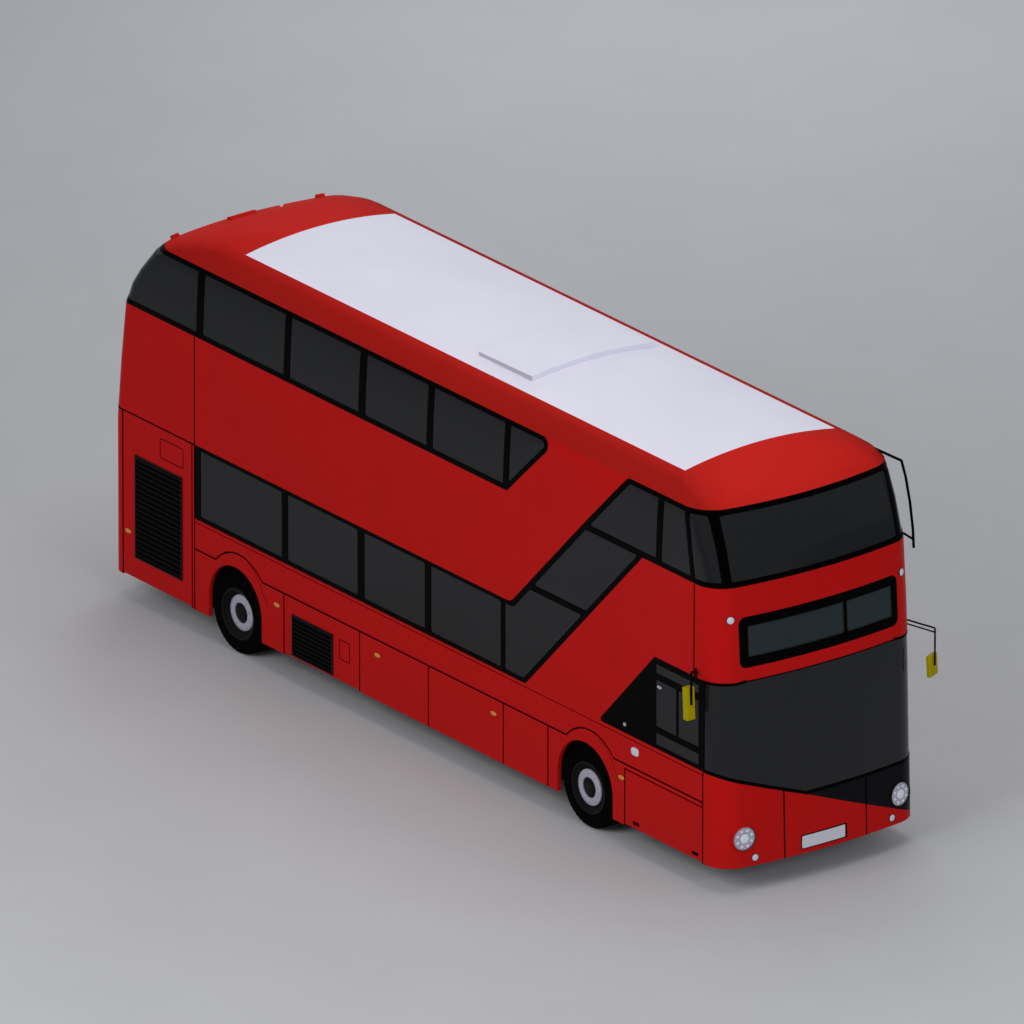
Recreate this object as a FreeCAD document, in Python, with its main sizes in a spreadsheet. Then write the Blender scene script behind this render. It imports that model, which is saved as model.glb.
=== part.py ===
import FreeCAD, Part
import math
import os
import Sketcher
from FreeCAD import Vector, Placement, Rotation

# Double decker bus, offside (right-hand) drive side.
# Row frame: +X forward, +Y nearside (left), +Z up, origin on the ground below
# the middle of the vehicle.  Millimetres.

doc = FreeCAD.newDocument("DoubleDeckerBus")
sheet = doc.addObject("Spreadsheet::Sheet", "Sizes")

# ---------------------------------------------------------------- sizes
# alias, value in mm (or degrees), what it is
SIZES = [
    ("seam_x", 4817, "side and front panel seam at skirt level"),
    ("skirt_z", 270, "lowest edge of the skirts"),
    ("half_width", 1275, "half of the overall body width"),
    ("wall", 45, "wall thickness of the body"),
    ("front_axle_x", 2822, "front axle line"),
    ("rear_axle_x", -3074, "rear axle line"),
    ("wheel_centre_z", 433, "height of the wheel centres"),
    ("tyre_radius", 433, "outer radius of every tyre"),
    ("tyre_width", 262, "section width of one tyre"),
    ("bead_radius", 250, "radius where tyre and rim meet"),
    ("wheel_plane_y", 1094, "middle plane of the front tyres"),
    ("rear_plane_y", 1124, "middle plane of the outer rear tyres"),
    ("kingpin_y", 1040, "kingpin axis"),
    ("kingpin_radius", 18, "kingpin"),
    ("spindle_radius", 30, "stub axle"),
    ("hub_radius", 88, "wheel hub"),
    ("twin_pitch", 302, "spacing of the twin rear tyres"),
    ("arch_half", 452, "half width of the rear wheel arch openings"),
    ("front_arch_half", 464, "half width of the front wheel arch openings"),
    ("front_arch_lead", 28, "middle of the front arch, ahead of the axle"),
    ("arch_top_z", 956, "top of the wheel arch openings"),
    ("floor_z", 380, "top of the lower deck floor"),
    ("floor_plate", 40, "lower deck floor thickness"),
    ("deck_z", 2420, "top of the upper deck floor"),
    ("deck_plate", 90, "upper deck floor thickness"),
    ("belt_z", 1234, "belt line, top of the skirts"),
    ("rail_y", 400, "middle of each chassis rail"),
    ("rail_w", 80, "chassis rail width"),
    ("rail_low_z", 285, "underside of the chassis rails"),
    ("beam_thick", 84, "front axle beam, fore and aft"),
    ("door_thick", 36, "door leaf thickness"),
    ("door_top_z", 2250, "top of the door leaves"),
    ("door_low_z", 392, "foot of the door leaves"),
    ("door_sill_z", 384, "top of the sill under each door"),
    ("engine_length", 820, "engine block along X"),
    ("engine_width", 760, "engine block along Y"),
    ("engine_height", 780, "engine block height"),
    ("headlamp_radius", 123, "headlamp"),
    ("mirror_height", 370, "offside mirror housing"),
    ("step_rise", 215, "rise of one stair"),
    ("step_going", 225, "going of one stair"),
]
P = {}
for row, (alias, value, note) in enumerate(SIZES, start=1):
    sheet.set("A%d" % row, note)
    sheet.set("B%d" % row, str(value))
    sheet.setAlias("B%d" % row, alias)
    P[alias] = float(value)
doc.recompute()

XS = P["seam_x"]
ZS = P["skirt_z"]
NODES = []


def X(rel):
    # station measured from the front seam
    return XS + rel


def Z(rel):
    # height measured from the skirt edge
    return ZS + rel


# ---------------------------------------------------------------- helpers
def feature(label, shape):
    if shape.ShapeType == "Compound" and len(shape.Solids) == 1:
        shape = shape.Solids[0]
    obj = doc.addObject("Part::Feature", label)
    obj.Label = label
    obj.Shape = shape
    obj.Placement = Placement()
    NODES.append(obj)
    return obj


def node(obj, label):
    obj.Label = label
    NODES.append(obj)
    return obj


def box(x0, x1, y0, y1, z0, z1):
    return Part.makeBox(x1 - x0, y1 - y0, z1 - z0, Vector(x0, y0, z0))


def cyl(radius, p0, p1):
    a = Vector(*p0)
    b = Vector(*p1)
    d = b - a
    return Part.makeCylinder(radius, d.Length, a, d)


def fuse(shapes):
    shapes = list(shapes)
    if len(shapes) == 1:
        return shapes[0]
    return shapes[0].fuse(shapes[1:]).removeSplitter()


def compound(shapes):
    out = []
    for s in shapes:
        out.extend(s.Solids)
    return Part.makeCompound(out)


def rounded_wire(points):
    # points: (Vector, corner radius); straight runs joined by tangent arcs
    n = len(points)
    cuts = []
    for i in range(n):
        p, r = points[i]
        a = points[i - 1][0] - p
        b = points[(i + 1) % n][0] - p
        if r <= 0:
            cuts.append((p, None, p))
            continue
        a.normalize()
        b.normalize()
        half = math.acos(max(-1.0, min(1.0, a.dot(b)))) / 2.0
        t = r / math.tan(half)
        mid_dir = a + b
        mid_dir.normalize()
        centre = p + mid_dir * (r / math.sin(half))
        cuts.append((p + a * t, centre - mid_dir * r, p + b * t))
    edges = []
    for i in range(n):
        start, mid, end = cuts[i]
        if mid is not None:
            edges.append(Part.Arc(start, mid, end).toShape())
        nxt = cuts[(i + 1) % n][0]
        if (nxt - end).Length > 1e-4:
            edges.append(Part.LineSegment(end, nxt).toShape())
    return Part.Wire(edges)


def side_prism(points, y0, y1):
    # points: (x rel, z rel, corner radius), pushed through along Y
    w = rounded_wire([(Vector(X(x), y0, Z(z)), r) for x, z, r in points])
    return Part.Face(w).extrude(Vector(0, y1 - y0, 0))


def front_prism(points, x0, x1):
    # points: (y, z rel, corner radius), pushed through along X
    w = rounded_wire([(Vector(x0, y, Z(z)), r) for y, z, r in points])
    return Part.Face(w).extrude(Vector(x1 - x0, 0, 0))


def rect(x0, x1, z0, z1, r=0.0):
    return [(x0, z0, r), (x1, z0, r), (x1, z1, r), (x0, z1, r)]


# ---------------------------------------------------------------- body form
# One row for each height: height above the skirt edge, half width, front end
# and rear end on the centre line, plan radii of the front corner, the front
# crown, the rear corner and the rear crown, and how much of an inset also
# lowers the row.
# height, half, front, rear, front_corner, front_crown, rear_corner, rear_crown, drop
LEVELS = [
    (0,    1275,  396, -10030, 320, 7200, 150, 21000, 0.0),
    (1700, 1275,  350, -10030, 320, 7200, 150, 21000, 0.0),
    (2350, 1275,  322,  -9985, 320, 6800, 160, 15000, 0.0),
    (3010, 1272,  285,  -9925, 320, 6000, 150,  9000, 0.0),
    (3220, 1266,  237,  -9872, 325, 5600, 188,  7600, 0.0),
    (3400, 1258,  196,  -9775, 330, 5200, 226,  6500, 0.0),
    (3660, 1243,  110,  -9592, 340, 4800, 284,  5200, 0.0),
    (3770, 1226,   60,  -9460, 350, 4600, 320,  4600, 0.0),
    (3850, 1168,  -28,  -9232, 370, 4400, 388,  4200, 0.5),
    (3920, 1070, -170,  -9025, 400, 4200, 430,  4000, 0.9),
    (3970,  945, -345,  -8820, 420, 4000, 464,  3900, 1.0),
    (4075,  600, -740,  -8176, 300, 3900, 290,  3800, 1.0),
]
CROWN_Z = 4058
CROWN_R = 4970


def plan_wire(z, b, f, r, rcf, rf, rcr, rr, d):
    # plan outline at one height, inset by d: two side lines, four corner
    # arcs, a front and a rear crown arc, all tangent
    b, f, r = b - d, X(f) - d, X(r) + d
    rcf, rf, rcr, rr = rcf - d, rf - d, rcr - d, rr - d

    def end(apex, sign, rc, rcrown):
        cx_crown = apex - sign * rcrown
        yc = b - rc
        xc = cx_crown + sign * math.sqrt((rcrown - rc) ** 2 - yc ** 2)
        u = Vector(xc - cx_crown, yc, 0)
        u.normalize()
        tangent = Vector(xc, yc, 0) + u * rc
        w = Vector(u.x, u.y + 1.0, 0)
        w.normalize()
        mid = Vector(xc, yc, 0) + w * rc
        return xc, mid, tangent

    fx, fm, ft = end(f, 1, rcf, rf)
    bx, bm, bt = end(r, -1, rcr, rr)

    def v(p, sy=1):
        return Vector(p.x, sy * p.y, z)

    edges = [
        Part.LineSegment(Vector(bx, b, z), Vector(fx, b, z)).toShape(),
        Part.Arc(Vector(fx, b, z), v(fm), v(ft)).toShape(),
        Part.Arc(v(ft), Vector(f, 0, z), v(ft, -1)).toShape(),
        Part.Arc(v(ft, -1), v(fm, -1), Vector(fx, -b, z)).toShape(),
        Part.LineSegment(Vector(fx, -b, z), Vector(bx, -b, z)).toShape(),
        Part.Arc(Vector(bx, -b, z), v(bm, -1), v(bt, -1)).toShape(),
        Part.Arc(v(bt, -1), Vector(r, 0, z), v(bt)).toShape(),
        Part.Arc(v(bt), v(bm), Vector(bx, b, z)).toShape(),
    ]
    return Part.Wire(edges)


FORMS = {}


def form(d):
    # the whole body as one solid, inset by d
    if d in FORMS:
        return FORMS[d]
    wires = []
    for (h, b, f, r, rcf, rf, rcr, rr, drop) in LEVELS:
        wires.append(plan_wire(Z(h) - drop * d, b, f, r, rcf, rf, rcr, rr, d))
    solid = Part.makeLoft(wires, True, True)
    # transverse crown of the roof
    rad = CROWN_R - d
    top = Z(CROWN_Z) - d
    half = 1500.0
    side = top - rad + math.sqrt(rad ** 2 - half ** 2)
    p = [Vector(X(-11000), -half, side), Vector(X(-11000), 0, top),
         Vector(X(-11000), half, side)]
    low_l = Vector(X(-11000), -half, -500)
    low_r = Vector(X(-11000), half, -500)
    w = Part.Wire([Part.Arc(p[0], p[1], p[2]).toShape(),
                   Part.LineSegment(p[2], low_r).toShape(),
                   Part.LineSegment(low_r, low_l).toShape(),
                   Part.LineSegment(low_l, p[0]).toShape()])
    crown = Part.Face(w).extrude(Vector(12500, 0, 0))
    solid = solid.common(crown)
    FORMS[d] = solid.Solids[0]
    return FORMS[d]


def shell(d0, d1, region):
    # the wall between two insets inside a region solid
    return form(d0).common(region).cut(form(d1))


def side_wall(d0, d1, side, x0, x1):
    # the flat-plan length of one side wall, between two insets, up to the
    # top of the upper windows: its section pushed along X
    outer = [Vector(x0, side * (row[1] - d0), Z(row[0])) for row in LEVELS if row[0] <= 3770]
    inner = [Vector(x0, side * (row[1] - d1), Z(row[0])) for row in LEVELS if row[0] <= 3770]
    loop = outer + inner[::-1]
    face = Part.Face(Part.makePolygon(loop + [loop[0]]))
    return face.extrude(Vector(x1 - x0, 0, 0)).removeSplitter()


WALL = P["wall"]
BIG = 1600.0
ALL_X0, ALL_X1 = X(-10500), X(900)

# ---------------------------------------------------------------- openings in the sides
# Offside glazing outlines: x, z, corner radius, measured from the front seam
# and the skirt edge.
RAIL = 55.0          # black border above and below the panes
LOW_RAIL = 48.0      # the same on the lower deck
LOW_TOP = 1818.0     # top of the lower deck windows
OFF_REAR_UPPER = [(-8560, 3005, 0), (-3286, 3005, 45), (-2508, 3770, 90), (-8560, 3770, 0)]
OFF_STAIR = [(-8580, 1000, 30), (-2970, 1000, 90), (-1015, 3005, 0), (-150, 3005, 0),
             (-310, 3770, 0), (-1311, 3770, 90), (-3219, LOW_TOP, 160), (-8580, LOW_TOP, 30)]
CAB_WINDOW = [(0, 1005, 0), (0, 2000, 0), (-806, 2000, 14), (-1748, 1005, 28)]

# Nearside outlines
NEAR_UPPER = [(-8560, 3005, 0), (-150, 3005, 0), (-310, 3770, 0), (-8560, 3770, 0)]
NEAR_LOWER = [rect(-8500, -4640, 1000, LOW_TOP, 30), rect(-3330, -1430, 1000, LOW_TOP, 30)]

# Pillars: first and last station of each black post
LOWER_POSTS = [(-7100, -7000), (-5810, -5700), (-4670, -4570), (-3390, -3320)]
UPPER_POSTS = [(-7070, -6970), (-5800, -5690), (-4650, -4550), (-3360, -3270)]
NEAR_UPPER_POSTS = UPPER_POSTS + [(-2090, -1990), (-800, -710)]


def panes_from_posts(x0, x1, posts):
    out = []
    start = x0
    for a, b in posts:
        out.append((start, a))
        start = b
    out.append((start, x1))
    return out


# Doors on the nearside: name, rear edge, front edge, leaves
DOORWAYS = [
    ("front_door", -1340, -90, 2),
    ("centre_door", -4570, -3390, 2),
    ("rear_door", -9500, -8590, 1),
]
# Hinged flaps on the offside: name, rear edge, front edge, low, high
FLAPS = [
    ("battery_flap", -7050, -5782, 18, 662),
    ("locker_flap", -1294, -8, 18, 606),
]
ENGINE_DOOR = (-9806, -8638, 18, 1802)
ENGINE_COVER = (-900, 900, 300, 1740)      # y0, y1, low, high

offside = box(ALL_X0, ALL_X1, -BIG, 0, -10, 5000)
nearside = box(ALL_X0, ALL_X1, 0, BIG, -10, 5000)


def arch_cut(axle_x, half, top, y0, y1):
    # arch opening: a half round of the wheel arch standing on straight sides
    z_spring = top - half
    base = box(axle_x - half, axle_x + half, y0, y1, -50, z_spring)
    cap = cyl(half, (axle_x, y0, z_spring), (axle_x, y1, z_spring))
    return base.fuse(cap)


# region of each side between the rear and front seams
side_low = box(X(-9813), X(0), -BIG, BIG, Z(0), Z(1810))
side_mid = box(X(-8580), X(-150), -BIG, BIG, Z(1810), Z(3005))
side_mid_low = box(X(-150), X(0), -BIG, BIG, Z(1810), Z(2003))
side_high = side_prism([(-8560, 3005, 0), (-150, 3005, 0), (-310, 3770, 0), (-8560, 3770, 0)], -BIG, BIG)
side_region = side_low.fuse([side_mid, side_mid_low, side_high]).removeSplitter()
off_shell = side_wall(0, WALL, -1, X(-9813), X(0)).common(side_region)
near_shell = side_wall(0, WALL, 1, X(-9813), X(0)).common(side_region)

# the front opening stands a little ahead of its wheel
arches = [arch_cut(P["front_axle_x"] + P["front_arch_lead"], P["front_arch_half"], P["arch_top_z"], -BIG, BIG),
          arch_cut(P["rear_axle_x"], P["arch_half"], P["arch_top_z"], -BIG, BIG)]

below_belt = box(ALL_X0, ALL_X1, -BIG, BIG, -10, P["belt_z"])
above_belt = box(ALL_X0, ALL_X1, -BIG, BIG, P["belt_z"], 5000)

off_open = [side_prism(OFF_REAR_UPPER, -BIG, -900), side_prism(OFF_STAIR, -BIG, -900),
            side_prism(CAB_WINDOW, -BIG, -900)]
flap_open = [side_prism(rect(a - 6, b + 6, lo - 30, hi + 6, 0), -BIG, -900)
             for _n, a, b, lo, hi in FLAPS]
ed = ENGINE_DOOR
engine_door_open = side_prism(rect(ed[0] - 7, ed[1] + 8, ed[2] - 30, ed[3] + 8, 0), -BIG, -900)

off_body = off_shell.cut(off_open + flap_open + [engine_door_open] + arches)
feature("offside_side_panel", compound([off_body.common(above_belt)]))
feature("offside_skirt", compound([off_body.common(below_belt)]))

door_open = []
for name, a, b, leaves in DOORWAYS:
    door_open.append(side_prism(rect(a, b, P["door_sill_z"] - ZS, P["door_top_z"] + 12 - ZS, 0), 900, BIG))
near_open = [side_prism(NEAR_UPPER, 900, BIG)] + [side_prism(o, 900, BIG) for o in NEAR_LOWER]
near_body = near_shell.cut(near_open + door_open + arches)
feature("nearside_side_panel", compound([near_body.common(above_belt)]))
feature("nearside_skirt", compound([near_body.common(below_belt)]))

# ---------------------------------------------------------------- side glazing
FRAME_IN, FRAME_OUT = 3.0, 42.0
GLASS_IN, GLASS_OUT = 8.0, 14.0


def band(outline, side):
    y0, y1 = (-BIG, -900) if side < 0 else (900, BIG)
    return side_prism(outline, y0, y1)


def inset_line(p, q, d):
    # a line through p and q moved to its left by d, as (point, direction)
    dx, dz = q[0] - p[0], q[1] - p[1]
    n = math.hypot(dx, dz)
    return (p[0] - dz / n * d, p[1] + dx / n * d), (dx / n, dz / n)


def at_z(line, z):
    (px, pz), (dx, dz) = line
    return px + dx * (z - pz) / dz


def at_x(line, x):
    (px, pz), (dx, dz) = line
    return pz + dz * (x - px) / dx


# the two diagonals of the stair band, and the raked front of the upper rear band
diag_up = inset_line((-3237, 1800), (-1311, 3770), -62)
diag_low = inset_line((-2970, 1000), (-1015, 3005), 62)
diag_rear = inset_line((-3286, 3005), (-2508, 3770), 58)

up0, up1 = 3005 + RAIL, 3770 - RAIL
lo0, lo1 = 1000 + LOW_RAIL, LOW_TOP - LOW_RAIL


def raked(z):
    # rear edge of the raked post beside the upper windscreen
    return -206 - (z - 3005) * (375 - 206) / 765.0


off_panes = []
for a, b in panes_from_posts(-8450, None, UPPER_POSTS)[:-1]:
    off_panes.append(rect(a, b, up0, up1, 22))
off_panes.append([(-3270, at_x(diag_rear, -3270), 12), (at_z(diag_rear, up1), up1, 40),
                  (-3270, up1, 22)])
for a, b in panes_from_posts(-8490, None, LOWER_POSTS)[:-1]:
    off_panes.append(rect(a, b, lo0, lo1, 22))
# stair panes, from the foot upwards
off_panes.append([(-3320, lo0, 22), (at_z(diag_low, lo0), lo0, 60), (at_z(diag_low, 2050), 2050, 15),
                  (at_z(diag_up, 2050), 2050, 15), (at_z(diag_up, lo1), lo1, 110), (-3320, lo1, 15)])
off_panes.append([(at_z(diag_low, 2120), 2120, 15), (at_z(diag_low, 3000), 3000, 15),
                  (at_z(diag_up, 3000), 3000, 15), (at_z(diag_up, 2120), 2120, 15)])
off_panes.append([(at_z(diag_up, 3070), 3070, 15), (-800, 3070, 20), (-800, up1, 20),
                  (at_z(diag_up, up1), up1, 60)])
off_panes.append([(-710, up0, 20), (raked(up0), up0, 15), (raked(up1), up1, 15), (-710, up1, 20)])
# cab panes: x0, x1, low, high
CAB_PANES = [(-791, -80, 1826, 1924), (-791, -452, 1244, 1752), (-420, -80, 1244, 1752),
             (-791, -80, 1048, 1175)]
for a, b, lo, hi in CAB_PANES:
    off_panes.append(rect(a, b, lo, hi, 8))

near_panes = []
for a, b in panes_from_posts(-8450, None, NEAR_UPPER_POSTS)[:-1]:
    near_panes.append(rect(a, b, up0, up1, 22))
near_panes.append([(-710, up0, 20), (raked(up0), up0, 15), (raked(up1), up1, 15), (-710, up1, 20)])
NEAR_LOWER_PANES = [(-8445, -7100), (-7000, -5810), (-5700, -4695), (-3275, -2420), (-2350, -1485)]
for a, b in NEAR_LOWER_PANES:
    near_panes.append(rect(a, b, lo0, lo1, 22))

frame_wall = {s: side_wall(FRAME_IN, FRAME_OUT, s, X(-8600), X(0)) for s in (-1, 1)}
glass_wall = {s: side_wall(GLASS_IN, GLASS_OUT, s, X(-8600), X(0)) for s in (-1, 1)}

off_pane_prisms = [band(p, -1) for p in off_panes]
near_pane_prisms = [band(p, 1) for p in near_panes]
off_frame = []
for o in (OFF_REAR_UPPER, OFF_STAIR, CAB_WINDOW):
    off_frame.extend(frame_wall[-1].common(band(o, -1)).cut(off_pane_prisms).Solids)
feature("offside_window_frame", Part.makeCompound(off_frame))
feature("offside_glass", compound([glass_wall[-1].common(p) for p in off_pane_prisms]))
near_frame = []
for o in [NEAR_UPPER] + NEAR_LOWER:
    near_frame.extend(frame_wall[1].common(band(o, 1)).cut(near_pane_prisms).Solids)
feature("nearside_window_frame", Part.makeCompound(near_frame))
feature("nearside_glass", compound([glass_wall[1].common(p) for p in near_pane_prisms]))

# ---------------------------------------------------------------- front
front_low = box(X(0), ALL_X1, -BIG, BIG, Z(0), Z(2003))
front_mid = box(X(-150), ALL_X1, -BIG, BIG, Z(2003), Z(3005))
front_region = front_low.fuse(front_mid)
front_shell = shell(0, WALL, front_region)
# windscreen outline and the dark corner below it, seen from the front:
# y, height, corner radius
SCREEN = [(-BIG, 1121, 0), (-245, 632, 0), (BIG, 632, 0), (BIG, 2000, 0), (-BIG, 2000, 0)]
SCREEN[0] = (-BIG, 1005 + (BIG - 1275) * 0.362, 0)
DARK_CORNER = [(-245, 632, 0), (1175, 70, 0), (BIG, -98, 0), (BIG, 632, 0)]
DISPLAY = [(-1005, 2136, 80), (1005, 2136, 80), (1005, 2680, 80), (-1005, 2680, 80)]
screen_prism = front_prism(SCREEN, X(0), ALL_X1)
dark_prism = front_prism(DARK_CORNER, X(0), ALL_X1)
display_prism = front_prism(DISPLAY, X(-100), ALL_X1)
# lamps on the front: y, height, radius
LAMP_SEATS = [(-990, 309, 134), (990, 309, 134)]
lamp_seats = [cyl(r, (X(-200), y, Z(z)), (ALL_X1, y, Z(z))) for y, z, r in LAMP_SEATS]

front_body = front_shell.cut([screen_prism, dark_prism, display_prism] + lamp_seats)
feature("front_panel", compound([front_body]))
dark = front_shell.common(dark_prism).cut(lamp_seats)
feature("front_corner_panel", compound([dark]))
feature("lower_windscreen", compound([shell(4, 12, screen_prism)]))
feature("destination_display", compound([shell(3, WALL, display_prism)]))

# headlamps: a bowl behind a domed front, one each side
headlamps = []
for y, z, r in LAMP_SEATS:
    seat = cyl(P["headlamp_radius"], (X(-200), y, Z(z)), (ALL_X1, y, Z(z)))
    headlamps.append(form(6).common(seat).cut(form(70)))
feature("headlamps", compound(headlamps))

# upper windscreen belt
belt = box(ALL_X0, ALL_X1, -BIG, BIG, Z(3005), Z(3770))
raked_cut = side_prism([(-150, 3005, 0), (700, 3005, 0), (700, 3770, 0), (-310, 3770, 0)], -BIG, BIG)
upper_frame_shell = shell(FRAME_IN, FRAME_OUT, raked_cut)
upper_glass_shell = shell(GLASS_IN, GLASS_OUT, raked_cut)
screen_pane = front_prism([(-1045, up0, 35), (1045, up0, 35), (1045, up1, 35), (-1045, up1, 35)],
                          X(-500), ALL_X1)


def corner_pane(side):
    # pane between the raked post and the front post, inside both outlines
    rk = side_prism([(raked(up0) + 66, up0, 12), (700, up0, 0), (700, up1, 0), (raked(up1) + 66, up1, 12)],
                    *((-BIG, -1135) if side < 0 else (1135, BIG)))
    return rk


corner_panes = [corner_pane(-1), corner_pane(1)]
front_frame = upper_frame_shell.cut([screen_pane] + corner_panes)
feature("upper_windscreen_frame", compound([front_frame]))
feature("upper_windscreen", compound([upper_glass_shell.common(screen_pane)]
                                     + [upper_glass_shell.common(c) for c in corner_panes]))

# ---------------------------------------------------------------- rear
rear_low = box(ALL_X0, X(-9813), -BIG, BIG, Z(0), Z(1810))
rear_mid = box(ALL_X0, X(-8580), -BIG, BIG, Z(1810), Z(3005))
rear_region = rear_low.fuse(rear_mid)
rear_shell = shell(0, WALL, rear_region)
ec = ENGINE_COVER
cover_open = box(ALL_X0, X(-9850), ec[0] - 7, ec[1] + 7, Z(ec[2] - 7), Z(ec[3] + 8))
# tail lamps: y, low, high, half width
TAIL = [(-1075, 420, 900, 62), (1075, 420, 900, 62)]
tail_seats = [box(ALL_X0, X(-9700), y - w, y + w, Z(lo), Z(hi)) for y, lo, hi, w in TAIL]
feature("rear_panel", compound([rear_shell.cut([cover_open] + tail_seats + door_open)]))
feature("tail_lamps", compound([shell(0, 30, s) for s in tail_seats]))
cover_box = box(ALL_X0, X(-9850), ec[0], ec[1], Z(ec[2]), Z(ec[3]))
feature("engine_cover", compound([shell(0, 40, cover_box)]))

rear_belt = box(ALL_X0, X(-8560), -BIG, BIG, Z(3005), Z(3770))
rear_pane_box = box(ALL_X0, X(-8540), -BIG, BIG, Z(up0), Z(up1))
feature("rear_window_frame", compound([shell(FRAME_IN, FRAME_OUT, rear_belt).cut(rear_pane_box)]))
feature("rear_glass", compound([shell(GLASS_IN, GLASS_OUT, rear_pane_box.common(
    box(ALL_X0, X(-8561), -BIG, BIG, Z(3000), Z(3800))))]))

# ---------------------------------------------------------------- roof
roof_region = box(ALL_X0, ALL_X1, -BIG, BIG, Z(3770), Z(4300))
roof_shell = shell(0, WALL, roof_region)
WHITE = (-8135, -733, -950, 950)
white_prism = box(X(WHITE[0]), X(WHITE[1]), WHITE[2], WHITE[3], Z(3880), Z(4300))
white_panel = shell(0, 14, white_prism)
feature("roof_shell", compound([roof_shell.cut(form(0).common(white_prism).cut(form(14)))]))


def hump_section(x, lift):
    # cross section of the raised hatch at one station: crown arc lifted
    # above the roof, and a flat underside sunk into the roof
    half = 765.0
    low = -8.0
    def arc(h):
        top = Z(CROWN_Z) + h
        side = top - CROWN_R + math.sqrt(CROWN_R ** 2 - half ** 2)
        return (Vector(x, -half, side), Vector(x, 0, top), Vector(x, half, side))
    a = arc(lift)
    b = arc(low)
    return Part.Wire([Part.Arc(*a).toShape(), Part.LineSegment(a[2], b[2]).toShape(),
                      Part.Arc(b[2], b[1], b[0]).toShape(), Part.LineSegment(b[0], a[0]).toShape()])


hump = Part.makeLoft([hump_section(X(-4430), 38.0), hump_section(X(-3530), 52.0)], True, True)
feature("roof_centre_panel", compound([white_panel.fuse(hump)]))

# ---------------------------------------------------------------- hinged panels
for name, a, b, lo, hi in FLAPS:
    region = box(X(a), X(b), -BIG, -900, Z(lo), Z(hi))
    feature(name, compound([shell(0, 36, region)]))
region = box(X(ed[0]), X(ed[1]), -BIG, -900, Z(ed[2]), Z(ed[3]))
feature("offside_engine_door", compound([shell(0, 36, region)]))

# ---------------------------------------------------------------- sketch helpers
def value(c):
    # a coordinate is a number, or (alias, factor, offset)
    if isinstance(c, tuple):
        return P[c[0]] * c[1] + c[2]
    return float(c)


def expression(c):
    return "Sizes.%s * %s + %s" % (c[0], repr(float(c[1])), repr(float(c[2])))


def new_body(name):
    return doc.addObject("PartDesign::Body", name)


def sketch(body, name, role, offset=0.0):
    sk = body.newObject("Sketcher::SketchObject", name)
    plane = [o for o in body.Origin.OriginFeatures if o.Role == role][0]
    sk.AttachmentSupport = (plane, [""])
    sk.MapMode = "FlatFace"
    if offset:
        sk.AttachmentOffset = Placement(Vector(0, 0, offset), Rotation())
    return sk


def polygon(sk, pts):
    # closed polygon whose named corners follow the sheet
    n = len(pts)
    first = len(sk.Geometry)
    for i in range(n):
        p, q = pts[i], pts[(i + 1) % n]
        sk.addGeometry(Part.LineSegment(Vector(value(p[0]), value(p[1]), 0),
                                        Vector(value(q[0]), value(q[1]), 0)), False)
    for i in range(n):
        sk.addConstraint(Sketcher.Constraint("Coincident", first + i, 2, first + (i + 1) % n, 1))
    for i, p in enumerate(pts):
        for kind, c in (("DistanceX", p[0]), ("DistanceY", p[1])):
            k = sk.addConstraint(Sketcher.Constraint(kind, first + i, 1, value(c)))
            if isinstance(c, tuple):
                sk.setExpression("Constraints[%d]" % k, expression(c))


def pad(body, sk, name, length, midplane=False, reverse=False):
    f = body.newObject("PartDesign::Pad", name)
    f.Profile = sk
    if isinstance(length, tuple):
        f.Length = value(length)
        f.setExpression("Length", expression(length))
    else:
        f.Length = length
    if midplane:
        f.SideType = "Symmetric" if hasattr(f, "SideType") else 0
        if not hasattr(f, "SideType"):
            f.Midplane = True
    f.Reversed = reverse
    return f


def revolve(body, sk, name):
    f = body.newObject("PartDesign::Revolution", name)
    f.Profile = sk
    f.ReferenceAxis = (sk, ["V_Axis"])
    f.Angle = 360.0
    return f


def place(obj, x, y, z, rot=None):
    # a node's Placement, each part a number or (alias, factor, offset)
    obj.Placement = Placement(Vector(value(x), value(y), value(z)), rot or Rotation())
    for axis, c in (("x", x), ("y", y), ("z", z)):
        if isinstance(c, tuple):
            obj.setExpression("Placement.Base.%s" % axis, expression(c))


# ---------------------------------------------------------------- wheels
# Tyre half section: radius and axial station from the tyre's middle
def tyre_points(mid):
    r, w, b = "tyre_radius", "tyre_width", "bead_radius"
    return [((b, 1, 0), (w, -0.36, mid)), ((b, 1, 14), (w, -0.40, mid)),
            ((r, 0.5, 115), (w, -0.5, mid)), ((r, 1, -48), (w, -0.485, mid)),
            ((r, 1, -16), (w, -0.44, mid)), ((r, 1, -3), (w, -0.37, mid)), ((r, 1, 0), (w, -0.20, mid)),
            ((r, 1, 0), (w, 0.20, mid)), ((r, 1, -3), (w, 0.37, mid)), ((r, 1, -16), (w, 0.44, mid)),
            ((r, 1, -48), (w, 0.485, mid)), ((r, 0.5, 115), (w, 0.5, mid)),
            ((b, 1, 14), (w, 0.40, mid)), ((b, 1, 0), (w, 0.36, mid))]


def rim_points_front(s):
    # barrel, disc set outboard, hub running on the spindle; s mirrors it
    return [((("spindle_radius"), 1, 0.06), s * 24.0), (("spindle_radius", 1, 0.06), s * 100.0),
            (("hub_radius", 1, -34), s * 100.0), (("hub_radius", 1, -30), s * 92.0),
            (("hub_radius", 1, 22), s * 92.0), (("hub_radius", 1, 28), s * 84.0),
            ((196), s * 76.0), ((214), s * 66.0), ((228), s * 70.0),
            ((236), s * 98.0), ((258), s * 106.0), ((258), s * 101.5),
            (("bead_radius", 1, -0.5), s * 95.0), (("bead_radius", 1, -0.5), s * -95.0),
            ((258), s * -101.5), ((258), s * -106.0), ((238), s * -100.0), ((234), s * 40.0),
            ((205), s * 52.0), ((196), s * 58.0), (("hub_radius", 1, 4), s * 70.0),
            (("hub_radius", 1, 0), s * 24.0)]


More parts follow.
